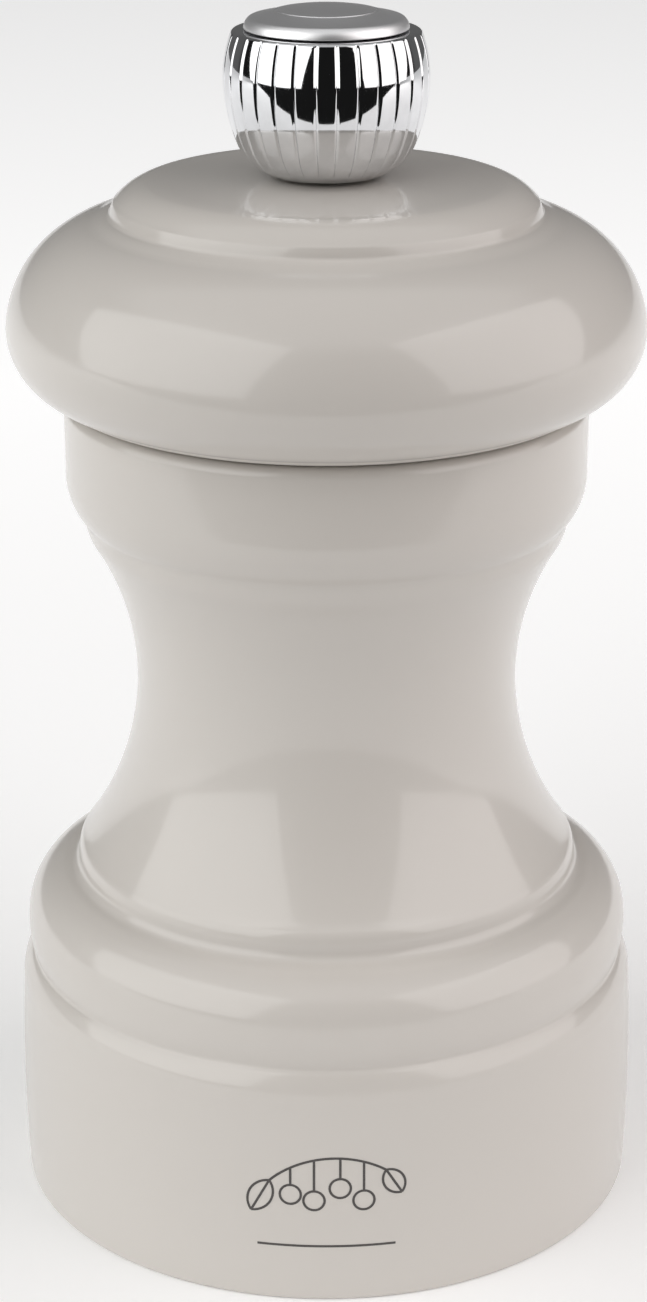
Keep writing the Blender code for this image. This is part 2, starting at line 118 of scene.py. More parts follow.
class MillKnob(bpy.types.PropertyGroup):
    """Sizes and colours of the knob."""
    radius: bpy.props.FloatProperty(
        name="Knob radius", description="Largest radius of the knob", default=0.00826, unit="LENGTH")
    flutes: bpy.props.IntProperty(
        name="Flutes", description="Number of narrow grooves round the knob", default=FLUTES, min=3)
    flute_depth: bpy.props.FloatProperty(
        name="Groove depth", description="Depth of each groove", default=0.00012, unit="LENGTH")
    flute_share: bpy.props.FloatProperty(
        name="Groove share", description="Groove width as a share of its pitch", default=0.22,
        min=0.05, max=0.9, subtype="FACTOR")
    chrome: bpy.props.FloatVectorProperty(
        name="Chrome", description="Colour of the chromium plate", default=linear("#DEDFE1"),
        size=3, subtype="COLOR", min=0.0, max=1.0)


class MillMechanism(bpy.types.PropertyGroup):
    """Sizes and colours of the grinding mechanism."""
    cone_teeth: bpy.props.IntProperty(
        name="Cone teeth", description="Helical teeth on the burr cone", default=14, min=4)
    ring_teeth: bpy.props.IntProperty(
        name="Ring teeth", description="Teeth inside the burr ring", default=24, min=4)
    spring_turns: bpy.props.FloatProperty(
        name="Spring turns", description="Turns of the compression spring", default=5.0, min=2.0)
    steel: bpy.props.FloatVectorProperty(
        name="Steel", description="Colour of the zinc-plated stampings", default=linear("#B9BABB"),
        size=3, subtype="COLOR", min=0.0, max=1.0)
    burr: bpy.props.FloatVectorProperty(
        name="Burr steel", description="Colour of the case-hardened burrs", default=linear("#6E6D6B"),
        size=3, subtype="COLOR", min=0.0, max=1.0)


class MillStage(bpy.types.PropertyGroup):
    """Camera and light."""
    lens: bpy.props.FloatProperty(
        name="Lens", description="Focal length on a 36 mm sensor, in millimetres", default=86.3)
    left_panel: bpy.props.FloatProperty(
        name="Left panel", description="Power of the left panel per square metre, in watts", default=5.9, min=0.0)
    right_panel: bpy.props.FloatProperty(
        name="Right panel", description="Power of the right panel per square metre, in watts", default=5.4, min=0.0)
    backdrop: bpy.props.FloatProperty(
        name="Backdrop", description="Brightness of the room behind the mill", default=0.12, min=0.0)
    ceiling: bpy.props.FloatProperty(
        name="Ceiling", description="Brightness of the room above the mill", default=0.66, min=0.0)
    room: bpy.props.FloatProperty(
        name="Room", description="Brightness of the room in front of the mill", default=0.01, min=0.0)
    floor: bpy.props.FloatVectorProperty(
        name="Floor", description="Colour of the floor", default=linear("#FAFAFA"),
        size=3, subtype="COLOR", min=0.0, max=1.0)


def settings(group):
    """The settings of one group on the scene."""
    return getattr(bpy.context.scene, group)


# Outlines

def arc(first, middle, last, steps):
    """Points on the circle through three points, after the first and up to the last."""
    (ax, ay), (bx, by), (cx, cy) = first, middle, last
    turn = 2 * (ax * (by - cy) + bx * (cy - ay) + cx * (ay - by))
    sa = ax * ax + ay * ay
    sb = bx * bx + by * by
    sc = cx * cx + cy * cy
    ox = (sa * (by - cy) + sb * (cy - ay) + sc * (ay - by)) / turn
    oy = (sa * (cx - bx) + sb * (ax - cx) + sc * (bx - ax)) / turn
    radius = math.hypot(ax - ox, ay - oy)
    start = math.atan2(ay - oy, ax - ox)
    via = (math.atan2(by - oy, bx - ox) - start) % math.tau
    end = (math.atan2(cy - oy, cx - ox) - start) % math.tau
    if via > end:
        end -= math.tau
    angles = [start + end * i / steps for i in range(1, steps + 1)]
    return [(ox + radius * math.cos(a), oy + radius * math.sin(a)) for a in angles]


def eased(outline, radius, steps=4, least=18.0):
    """The outline with each corner sharper than least degrees rounded off, as turning and polish leave it."""
    closed = outline[0][0] > 0 or outline[-1][0] > 0
    count = len(outline)
    result = []
    for i, point in enumerate(outline):
        here = Vector(point)
        if not closed and i in (0, count - 1):
            result.append(point)
            continue
        before = Vector(outline[i - 1]) - here
        after = Vector(outline[(i + 1) % count]) - here
        bend = 180.0 - math.degrees(before.angle(after))
        if bend < least:
            result.append(point)
            continue
        near = min(radius, 0.45 * before.length)
        far = min(radius, 0.45 * after.length)
        start = here + before.normalized() * near
        end = here + after.normalized() * far
        for k in range(steps + 1):
            t = k / steps
            result.append(tuple(start * (1 - t) ** 2 + here * 2 * t * (1 - t) + end * t * t))
    return result


# Node helpers

def add(tree, kind, links=None, **values):
    """Adds a node, sets its properties, and sets or links its inputs."""
    node = tree.nodes.new(kind)
    for key, value in values.items():
        setattr(node, key, value)
    for key, value in (links or {}).items():
        if isinstance(value, bpy.types.NodeSocket):
            tree.links.new(value, node.inputs[key])
        else:
            node.inputs[key].default_value = value
    return node


def new_tree(name, sockets):
    """A geometry tree with named inputs, and its group input node."""
    tree = bpy.data.node_groups.new(name, "GeometryNodeTree")
    tree.interface.new_socket("Geometry", in_out="OUTPUT", socket_type="NodeSocketGeometry")
    tree.interface.new_socket("Geometry", in_out="INPUT", socket_type="NodeSocketGeometry")
    for label, kind, value in sockets:
        socket = tree.interface.new_socket(label, in_out="INPUT", socket_type=kind)
        if value is not None:
            socket.default_value = value
    return tree, tree.nodes.new("NodeGroupInput")


def end_tree(tree, geometry, material):
    """Ends a geometry tree with Realize Instances and Set Material."""
    real = add(tree, "GeometryNodeRealizeInstances", {"Geometry": geometry})
    painted = add(tree, "GeometryNodeSetMaterial",
                  {"Geometry": real.outputs["Geometry"], "Material": material})
    add(tree, "NodeGroupOutput", {0: painted.outputs["Geometry"]})
    return tree


def turning_tree():
    """Turns the points of an outline, held in X and Z, into a closed surface round Z."""
    tree, given = new_tree("Turning", [
        ("Steps", "NodeSocketInt", MEDIUM), ("Points", "NodeSocketInt", 2), ("Material", "NodeSocketMaterial", None)])
    rounds = add(tree, "ShaderNodeMath", {0: given.outputs["Steps"], 1: 1.0}, operation="ADD")
    grid = add(tree, "GeometryNodeMeshGrid", {
        "Size X": 1.0, "Size Y": 1.0, "Vertices X": rounds.outputs[0], "Vertices Y": given.outputs["Points"]})
    place = add(tree, "ShaderNodeSeparateXYZ", {0: add(tree, "GeometryNodeInputPosition").outputs[0]})
    share = add(tree, "ShaderNodeMath", {0: place.outputs["X"], 1: 0.5}, operation="ADD")
    angle = add(tree, "ShaderNodeMath", {0: share.outputs[0], 1: math.tau}, operation="MULTIPLY")
    along = add(tree, "ShaderNodeMath", {0: place.outputs["Y"], 1: 0.5}, operation="ADD")
    last = add(tree, "ShaderNodeMath", {0: given.outputs["Points"], 1: 1.0}, operation="SUBTRACT")
    index = add(tree, "ShaderNodeMath", {0: along.outputs[0], 1: last.outputs[0]}, operation="MULTIPLY")
    whole = add(tree, "ShaderNodeMath", {0: index.outputs[0]}, operation="ROUND")
    sample = add(tree, "GeometryNodeSampleIndex", {
        "Geometry": given.outputs["Geometry"], "Index": whole.outputs[0]}, data_type="FLOAT_VECTOR")
    tree.links.new(add(tree, "GeometryNodeInputPosition").outputs[0], sample.inputs["Value"])
    point = add(tree, "ShaderNodeSeparateXYZ", {0: sample.outputs["Value"]})
    cosine = add(tree, "ShaderNodeMath", {0: angle.outputs[0]}, operation="COSINE")
    sine = add(tree, "ShaderNodeMath", {0: angle.outputs[0]}, operation="SINE")
    across = add(tree, "ShaderNodeMath", {0: point.outputs["X"], 1: cosine.outputs[0]}, operation="MULTIPLY")
    depth = add(tree, "ShaderNodeMath", {0: point.outputs["X"], 1: sine.outputs[0]}, operation="MULTIPLY")
    where = add(tree, "ShaderNodeCombineXYZ", {
        "X": across.outputs[0], "Y": depth.outputs[0], "Z": point.outputs["Z"]})
    moved = add(tree, "GeometryNodeSetPosition", {
        "Geometry": grid.outputs["Mesh"], "Position": where.outputs[0]})
    closed = add(tree, "GeometryNodeMergeByDistance", {"Geometry": moved.outputs["Geometry"], "Distance": 2e-7})
    return end_tree(tree, closed.outputs["Geometry"], given.outputs["Material"])


def relief_tree():
    """Cuts flutes, teeth or a thread into a turned wall: grooves evenly spaced round Z, or along a helix."""
    tree, given = new_tree("Relief", [
        ("Starts", "NodeSocketFloat", 1.0), ("Turns per metre", "NodeSocketFloat", 0.0),
        ("Depth", "NodeSocketFloat", 0.0), ("Share", "NodeSocketFloat", 1.0),
        ("Low", "NodeSocketFloat", 0.0), ("High", "NodeSocketFloat", 1.0), ("Fade", "NodeSocketFloat", 0.0005),
        ("Inner radius", "NodeSocketFloat", 0.0), ("Outer radius", "NodeSocketFloat", 1.0),
        ("Material", "NodeSocketMaterial", None)])
    position = add(tree, "GeometryNodeInputPosition")
    place = add(tree, "ShaderNodeSeparateXYZ", {0: position.outputs[0]})
    x, y, z = place.outputs
    flat = add(tree, "ShaderNodeVectorMath", {0: position.outputs[0], 1: (1.0, 1.0, 0.0)}, operation="MULTIPLY")
    length = add(tree, "ShaderNodeVectorMath", {0: flat.outputs[0]}, operation="LENGTH")
    radius = add(tree, "ShaderNodeMath", {0: length.outputs["Value"], 1: 1e-7}, operation="MAXIMUM").outputs[0]
    angle = add(tree, "ShaderNodeMath", {0: y, 1: x}, operation="ARCTAN2")
    share = add(tree, "ShaderNodeMath", {0: angle.outputs[0], 1: math.tau}, operation="DIVIDE")
    around = add(tree, "ShaderNodeMath", {0: share.outputs[0], 1: given.outputs["Starts"]}, operation="MULTIPLY")
    phase = add(tree, "ShaderNodeMath", {
        0: z, 1: given.outputs["Turns per metre"], 2: around.outputs[0]}, operation="MULTIPLY_ADD")
    wrapped = add(tree, "ShaderNodeMath", {0: phase.outputs[0]}, operation="FRACT")
    offset = add(tree, "ShaderNodeMath", {0: wrapped.outputs[0], 1: 0.5}, operation="SUBTRACT")
    distance = add(tree, "ShaderNodeMath", {0: offset.outputs[0]}, operation="ABSOLUTE")
    half = add(tree, "ShaderNodeMath", {0: given.outputs["Share"], 1: 0.5}, operation="MULTIPLY")
    edge = add(tree, "ShaderNodeMath", {0: 0.5, 1: half.outputs[0]}, operation="SUBTRACT")
    cut = add(tree, "ShaderNodeMapRange", {
        "Value": distance.outputs[0], "From Min": edge.outputs[0], "From Max": 0.5}, interpolation_type="SMOOTHSTEP")
    inside = add(tree, "ShaderNodeMath", {0: given.outputs["Low"], 1: given.outputs["Fade"]}, operation="ADD")
    rise = add(tree, "ShaderNodeMapRange", {
        "Value": z, "From Min": given.outputs["Low"], "From Max": inside.outputs[0]},
        interpolation_type="SMOOTHSTEP")
    under = add(tree, "ShaderNodeMath", {0: given.outputs["High"], 1: given.outputs["Fade"]}, operation="SUBTRACT")
    fall = add(tree, "ShaderNodeMapRange", {
        "Value": z, "From Min": given.outputs["High"], "From Max": under.outputs[0]},
        interpolation_type="SMOOTHSTEP")
    ends = add(tree, "ShaderNodeMath", {0: rise.outputs[0], 1: fall.outputs[0]}, operation="MULTIPLY")
    over = add(tree, "ShaderNodeMath", {0: radius, 1: given.outputs["Inner radius"]}, operation="GREATER_THAN")
    below = add(tree, "ShaderNodeMath", {0: radius, 1: given.outputs["Outer radius"]}, operation="LESS_THAN")
    band = add(tree, "ShaderNodeMath", {0: over.outputs[0], 1: below.outputs[0]}, operation="MULTIPLY")
    mask = add(tree, "ShaderNodeMath", {0: ends.outputs[0], 1: band.outputs[0]}, operation="MULTIPLY")
    amount = add(tree, "ShaderNodeMath", {0: cut.outputs[0], 1: mask.outputs[0]}, operation="MULTIPLY")
    taken = add(tree, "ShaderNodeMath", {0: amount.outputs[0], 1: given.outputs["Depth"]}, operation="MULTIPLY")
    ratio = add(tree, "ShaderNodeMath", {0: taken.outputs[0], 1: radius}, operation="DIVIDE")
    shift = add(tree, "ShaderNodeVectorMath", {0: flat.outputs[0]}, operation="SCALE")
    tree.links.new(ratio.outputs[0], shift.inputs["Scale"])
    inward = add(tree, "ShaderNodeVectorMath", {0: shift.outputs[0], 1: (-1.0, -1.0, 0.0)}, operation="MULTIPLY")
    moved = add(tree, "GeometryNodeSetPosition", {
        "Geometry": given.outputs["Geometry"], "Offset": inward.outputs[0]})
    return end_tree(tree, moved.outputs["Geometry"], given.outputs["Material"])


def coil_tree():
    """A compression spring with closed ends, between two heights."""
    tree, given = new_tree("Coil", [
        ("Turns", "NodeSocketFloat", 5.0), ("Radius", "NodeSocketFloat", 0.004), ("Wire", "NodeSocketFloat", 0.0005),
        ("Low", "NodeSocketFloat", 0.0), ("Height", "NodeSocketFloat", 0.01),
        ("Material", "NodeSocketMaterial", None)])
    spiral = add(tree, "GeometryNodeCurveSpiral", {
        "Resolution": 48, "Rotations": given.outputs["Turns"], "Start Radius": given.outputs["Radius"],
        "End Radius": given.outputs["Radius"], "Height": 0.0})
    share = add(tree, "GeometryNodeSplineParameter")
    eased_share = add(tree, "ShaderNodeMapRange", {
        "Value": share.outputs["Factor"], "From Min": 0.1, "From Max": 0.9}, interpolation_type="SMOOTHSTEP")
    rise = add(tree, "ShaderNodeMath", {
        0: eased_share.outputs[0], 1: given.outputs["Height"], 2: given.outputs["Low"]}, operation="MULTIPLY_ADD")
    lifted = add(tree, "ShaderNodeCombineXYZ", {"Z": rise.outputs[0]})
    raised = add(tree, "GeometryNodeSetPosition", {
        "Geometry": spiral.outputs["Curve"], "Offset": lifted.outputs[0]})
    wire = add(tree, "GeometryNodeCurvePrimitiveCircle", {"Resolution": 16, "Radius": given.outputs["Wire"]})
    swept = add(tree, "GeometryNodeCurveToMesh", {
        "Curve": raised.outputs["Geometry"], "Profile Curve": wire.outputs["Curve"], "Fill Caps": True})
    return end_tree(tree, swept.outputs["Mesh"], given.outputs["Material"])


def ring_of_tree():
    """Copies of one piece, evenly spaced on a circle round Z."""
    tree, given = new_tree("Ring Of", [
        ("Count", "NodeSocketInt", 3), ("Radius", "NodeSocketFloat", 0.01), ("Start", "NodeSocketFloat", 0.0),
        ("Material", "NodeSocketMaterial", None)])
    # a mesh circle gives nothing below three points, so the places are worked out from the index
    index = add(tree, "GeometryNodeInputIndex")
    pitch = add(tree, "ShaderNodeMath", {0: math.tau, 1: given.outputs["Count"]}, operation="DIVIDE")
    angle = add(tree, "ShaderNodeMath", {
        0: index.outputs[0], 1: pitch.outputs[0], 2: given.outputs["Start"]}, operation="MULTIPLY_ADD")
    arm = add(tree, "ShaderNodeCombineXYZ", {"X": given.outputs["Radius"]})
    place = add(tree, "ShaderNodeVectorRotate", {
        "Vector": arm.outputs[0], "Angle": angle.outputs[0]}, rotation_type="Z_AXIS")
    points = add(tree, "GeometryNodePoints", {"Count": given.outputs["Count"], "Position": place.outputs[0]})
    own_turn = add(tree, "ShaderNodeMath", {0: index.outputs[0], 1: 0.7}, operation="MULTIPLY")
    spin = add(tree, "ShaderNodeCombineXYZ", {"Z": own_turn.outputs[0]})
    copies = add(tree, "GeometryNodeInstanceOnPoints", {
        "Points": points.outputs[0], "Instance": given.outputs["Geometry"],
        "Rotation": spin.outputs[0]})
    return end_tree(tree, copies.outputs["Instances"], given.outputs["Material"])


TREES = {}


def tree_for(maker):
    """The geometry tree that a maker builds, made once."""
    if maker.__name__ not in TREES:
        TREES[maker.__name__] = maker()
    return TREES[maker.__name__]


def grow(obj, maker, **values):
    """Adds a geometry tree to an object, with its inputs set by identifier."""
    modifier = obj.modifiers.new(maker.__name__, "NODES")
    modifier.node_group = tree_for(maker)
    names = {key.replace("_", " ").capitalize(): value for key, value in values.items()}
    for item in modifier.node_group.interface.items_tree:
        if item.in_out == "INPUT" and item.name in names:
            modifier[item.identifier] = names.pop(item.name)
    if names:
        raise RuntimeError(f"the tree has no input named {sorted(names)}")


# Mesh helpers

def new_object(name, mesh):
    """Links a mesh to the scene as an object."""
    obj = bpy.data.objects.new(name, mesh)
    bpy.context.scene.collection.objects.link(obj)
    return obj


def settled(obj, name, sharp=32.0):
    """Turns an object and its modifiers into one plain closed mesh whose faces point out."""
    depsgraph = bpy.context.evaluated_depsgraph_get()
    mesh = bpy.data.meshes.new_from_object(obj.evaluated_get(depsgraph), depsgraph=depsgraph)
    bpy.data.objects.remove(obj, do_unlink=True)
    bm = bmesh.new()
    bm.from_mesh(mesh)
    bmesh.ops.remove_doubles(bm, verts=bm.verts, dist=2e-7)
    bmesh.ops.recalc_face_normals(bm, faces=bm.faces)
    bm.to_mesh(mesh)
    bm.free()
    mesh.name = name
    mesh.shade_smooth()
    mesh.set_sharp_from_angle(angle=math.radians(sharp))
    return new_object(name, mesh)


def turned(name, outline, material, steps=MEDIUM, reliefs=()):
    """A turned piece from its outline, with any flutes, teeth or thread cut into it."""
    points = list(outline)
    if points[0][0] > 0 or points[-1][0] > 0:
        points.append(points[0])
    mesh = bpy.data.meshes.new(name + "_outline")
    mesh.from_pydata([(r * MM, 0.0, z * MM) for r, z in points], [], [])
    blank = new_object(name + "_outline", mesh)
    grow(blank, turning_tree, steps=steps, points=len(points), material=material)
    for relief in reliefs:
        grow(blank, relief_tree, material=material, **relief)
    return settled(blank, name)


def plate(name, corners, foot, top, material, edge=0.12):
    """A flat plate from its corner points, with eased edges."""
    bm = bmesh.new()
    face = bm.faces.new([bm.verts.new((x * MM, y * MM, foot * MM)) for x, y in corners])
    raised = bmesh.ops.extrude_face_region(bm, geom=[face])["geom"]
    verts = [item for item in raised if isinstance(item, bmesh.types.BMVert)]
    bmesh.ops.translate(bm, vec=(0, 0, (top - foot) * MM), verts=verts)
    mesh = bpy.data.meshes.new(name)
    bmesh.ops.recalc_face_normals(bm, faces=bm.faces)
    bm.to_mesh(mesh)
    bm.free()
    mesh.materials.append(material)
    obj = new_object(name, mesh)
    if edge:
        bevel = obj.modifiers.new("edge", "BEVEL")
        bevel.width = edge * MM
        bevel.segments = 2
        bevel.limit_method = "ANGLE"
        bevel.angle_limit = math.radians(40)
    return obj


def combine(obj, other, operation="DIFFERENCE"):
    """One exact Boolean, with the other object dropped."""
    depsgraph = bpy.context.evaluated_depsgraph_get()
    obj.data = bpy.data.meshes.new_from_object(obj.evaluated_get(depsgraph), depsgraph=depsgraph)
    obj.modifiers.clear()
    modifier = obj.modifiers.new("cut", "BOOLEAN")
    modifier.operation = operation
    modifier.solver = "EXACT"
    modifier.object = other
    depsgraph = bpy.context.evaluated_depsgraph_get()
    obj.data = bpy.data.meshes.new_from_object(obj.evaluated_get(depsgraph), depsgraph=depsgraph)
    obj.modifiers.clear()
    bpy.data.objects.remove(other, do_unlink=True)


def circle(radius, count, centre=(0.0, 0.0)):
    """Corner points round a circle."""
    return [(centre[0] + radius * math.cos(math.tau * i / count),
             centre[1] + radius * math.sin(math.tau * i / count)) for i in range(count)]


def rounded_square(side, corner, steps=6):
    """Corner points of a square with round corners."""
    points = []
    for quarter in range(4):
        turn = math.pi / 2 * quarter + math.pi / 4
        centre = (side / 2 - corner) * math.sqrt(2)
        for k in range(steps + 1):
            angle = math.pi / 2 * quarter + math.pi / 2 * k / steps
            points.append((centre * math.cos(turn) + corner * math.cos(angle),
                           centre * math.sin(turn) + corner * math.sin(angle)))
    return points


def hole(obj, corners, foot, top, material):
    """Cuts a straight hole with the given corners."""
    combine(obj, plate("cutter", corners, foot, top, material, edge=0))


def attach(obj, body, slot, *nodes):
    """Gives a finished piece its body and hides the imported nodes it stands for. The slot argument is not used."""
    if not obj.data.polygons:
        raise RuntimeError(f"{obj.name} came out empty")
    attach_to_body(obj, body)
    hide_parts(*nodes)
    return obj


# Materials

def start_material(name):
    """A node material with its Principled shader and Object coordinates."""
    material = bpy.data.materials.new(name)
    material.use_nodes = True
    tree = material.node_tree
    shader = tree.nodes["Principled BSDF"]
    place = add(tree, "ShaderNodeTexCoord").outputs["Object"]
    return material, tree, shader, place


def gloss_lacquer():
    """Opaque lacquer sprayed and polished over beech: a deep even gloss with a faint orange peel."""
    material, tree, shader, place = start_material("gloss_lacquer")
    colour = settings("mill_wood").lacquer
    # the colour drifts by about one part in a hundred over a few centimetres, as sprayed coats do
    drift = add(tree, "ShaderNodeTexNoise", {"Vector": place, "Scale": 45.0, "Detail": 2.0})
    darker = (*[c * 0.985 for c in colour], 1.0)
    lighter = (*[min(1.0, c * 1.015) for c in colour], 1.0)
    paint = add(tree, "ShaderNodeMix", {
        0: drift.outputs["Fac"], MIX_COLOUR_A: darker, MIX_COLOUR_B: lighter}, data_type="RGBA")
    tree.links.new(paint.outputs[MIX_COLOUR_OUT], shader.inputs["Base Color"])
    # orange peel: ripples about 1.2 mm across and a few micrometres deep
    peel = add(tree, "ShaderNodeTexNoise", {"Vector": place, "Scale": 1 / (1.2 * MM), "Detail": 1.0})
    bump = add(tree, "ShaderNodeBump", {"Height": peel.outputs["Fac"], "Strength": 0.05, "Distance": 0.004 * MM})
    tree.links.new(bump.outputs[0], shader.inputs["Normal"])
    tree.links.new(bump.outputs[0], shader.inputs["Coat Normal"])
    shader.inputs["Roughness"].default_value = 0.35
    shader.inputs["Coat Weight"].default_value = 0.75
    shader.inputs["Coat Roughness"].default_value = 0.1
    shader.inputs["Specular IOR Level"].default_value = 0.35
    return material


def bare_beech():
    """Unfinished turned beech: close straight grain along the axis, short dark flecks, dull."""
    material, tree, shader, place = start_material("bare_beech")
    colour = settings("mill_wood").beech
    # grain lines about 0.7 mm apart, drawn out along the axis
    stretch = add(tree, "ShaderNodeMapping", {"Vector": place, "Scale": (1.0, 1.0, 0.08)})
    grain = add(tree, "ShaderNodeTexNoise", {
        "Vector": stretch.outputs[0], "Scale": 1 / (0.7 * MM), "Detail": 5.0, "Roughness": 0.6})
    ramp = add(tree, "ShaderNodeValToRGB", {"Fac": grain.outputs["Fac"]})
    ramp.color_ramp.elements[0].position = 0.3
    ramp.color_ramp.elements[0].color = (*[c * 0.62 for c in colour], 1.0)
    ramp.color_ramp.elements[1].position = 0.7
    ramp.color_ramp.elements[1].color = (*[min(1.0, c * 1.12) for c in colour], 1.0)
    tree.links.new(ramp.outputs["Color"], shader.inputs["Base Color"])
    # tool marks from boring, 0.25 mm apart
    marks = add(tree, "ShaderNodeTexWave", {
        "Vector": place, "Scale": 1 / (0.25 * MM) / math.tau, "Distortion": 1.5},
        bands_direction="Z")
    bump = add(tree, "ShaderNodeBump", {"Height": marks.outputs["Fac"], "Strength": 0.4, "Distance": 0.02 * MM})
    tree.links.new(bump.outputs[0], shader.inputs["Normal"])
    shader.inputs["Roughness"].default_value = 0.72
    return material


def metal(name, colour, roughness, spread, grain, squash=(1.0, 1.0, 1.0), depth=0.0015):
    """A bare or plated metal: grain in millimetres varies its roughness, with a fine bump to match."""
    material, tree, shader, place = start_material(name)
    shader.inputs["Metallic"].default_value = 1.0
    stretch = add(tree, "ShaderNodeMapping", {"Vector": place, "Scale": squash})
    pattern = add(tree, "ShaderNodeTexNoise", {
        "Vector": stretch.outputs[0], "Scale": 1 / (grain * MM), "Detail": 4.0, "Roughness": 0.55})
    shades = add(tree, "ShaderNodeValToRGB", {"Fac": pattern.outputs["Fac"]})
    shades.color_ramp.elements[0].position = 0.25
    shades.color_ramp.elements[0].color = (*[c * (1 - spread) for c in colour], 1.0)
    shades.color_ramp.elements[1].position = 0.75
    shades.color_ramp.elements[1].color = (*[min(1.0, c * (1 + spread)) for c in colour], 1.0)
    tree.links.new(shades.outputs["Color"], shader.inputs["Base Color"])
    rough = add(tree, "ShaderNodeMapRange", {
        "Value": pattern.outputs["Fac"], "From Min": 0.25, "From Max": 0.75,
        "To Min": roughness * (1 - spread), "To Max": roughness * (1 + spread)})
    tree.links.new(rough.outputs[0], shader.inputs["Roughness"])
    bump = add(tree, "ShaderNodeBump", {
        "Height": pattern.outputs["Fac"], "Strength": 0.3, "Distance": depth * MM})
    tree.links.new(bump.outputs[0], shader.inputs["Normal"])
    return material


def polished_chrome():
    """Chromium plate on a polished casting: a mirror with the faintest waviness."""
    return metal("polished_chrome", settings("mill_knob").chrome, 0.05, 0.06, 1.5, depth=0.0004)


def satin_chrome():
    """Chromium plate over a finely blasted face: pearly, grain about 0.05 mm."""
    return metal("satin_chrome", linear("#F4F4F5"), 0.42, 0.05, 0.05, depth=0.0008)


def zinc_steel():
    """Stamped mild steel, zinc plated: pale grey with broad soft spangle."""
    return metal("zinc_steel", settings("mill_mechanism").steel, 0.34, 0.12, 0.9, depth=0.002)


def burr_steel():
    """Case-hardened burr steel: dark, dull and slightly mottled from quenching."""
    return metal("burr_steel", settings("mill_mechanism").burr, 0.42, 0.25, 0.6, depth=0.006)


def spring_wire():
    """Drawn spring wire: grey, with die lines round the coil."""
    return metal("spring_wire", linear("#8E9092"), 0.28, 0.15, 0.2, depth=0.002)


def drawn_aluminium():
    """Drawn aluminium bar: pale, with long straight die lines about 0.15 mm apart."""
    return metal("drawn_aluminium", linear("#D3D4D6"), 0.3, 0.1, 0.15, squash=(1.0, 1.0, 0.02), depth=0.003)


def machined_brass():
    """Free-cutting brass as it leaves the lathe: bright yellow, turning lines 0.08 mm apart."""
    return metal("machined_brass", linear("#D9B566"), 0.24, 0.1, 0.08, squash=(0.1, 0.1, 1.0), depth=0.002)


def moulded_nylon():
    """Natural nylon, moulded: milky off-white with a soft sheen and light passing a little way in."""
    material, tree, shader, place = start_material("moulded_nylon")
    cloud = add(tree, "ShaderNodeTexNoise", {"Vector": place, "Scale": 1 / (2.5 * MM), "Detail": 2.0})
    shades = add(tree, "ShaderNodeValToRGB", {"Fac": cloud.outputs["Fac"]})
    shades.color_ramp.elements[0].color = (*linear("#D9D5C8"), 1.0)
    shades.color_ramp.elements[1].color = (*linear("#E9E6DC"), 1.0)
    tree.links.new(shades.outputs["Color"], shader.inputs["Base Color"])
    grain = add(tree, "ShaderNodeTexNoise", {"Vector": place, "Scale": 1 / (0.12 * MM), "Detail": 1.0})
    bump = add(tree, "ShaderNodeBump", {"Height": grain.outputs["Fac"], "Strength": 0.2, "Distance": 0.002 * MM})
    tree.links.new(bump.outputs[0], shader.inputs["Normal"])
    shader.inputs["Roughness"].default_value = 0.45
    shader.inputs["Subsurface Weight"].default_value = 0.1
    shader.inputs["Subsurface Scale"].default_value = 0.5 * MM
    return material


def pad_ink():
    """Pad-printed ink under the last clear coat: near black, slightly uneven in cover."""
    material, tree, shader, place = start_material("pad_ink")
    colour = settings("mill_wood").ink
    cover = add(tree, "ShaderNodeTexNoise", {"Vector": place, "Scale": 1 / (0.2 * MM), "Detail": 3.0})
    shades = add(tree, "ShaderNodeValToRGB", {"Fac": cover.outputs["Fac"]})
    shades.color_ramp.elements[0].position = 0.3
    shades.color_ramp.elements[0].color = (*colour, 1.0)
    shades.color_ramp.elements[1].position = 0.8
    shades.color_ramp.elements[1].color = (*[c * 1.8 for c in colour], 1.0)
    tree.links.new(shades.outputs["Color"], shader.inputs["Base Color"])
    shader.inputs["Roughness"].default_value = 0.35
    shader.inputs["Coat Weight"].default_value = 0.6
    shader.inputs["Coat Roughness"].default_value = 0.05
    return material


FINISHES = {}


def finish(maker):
    """The material that a maker builds, made once."""
    if maker.__name__ not in FINISHES:
        FINISHES[maker.__name__] = maker()
    return FINISHES[maker.__name__]


# Pieces

RECESS_RADIUS = 19.5
RECESS_TOP = 5.0
LOWER_BORE = 14.0
LEDGE = 30.1
CHAMBER = 12.4
MOUTH = 16.2
MOUTH_FLOOR = 62.0


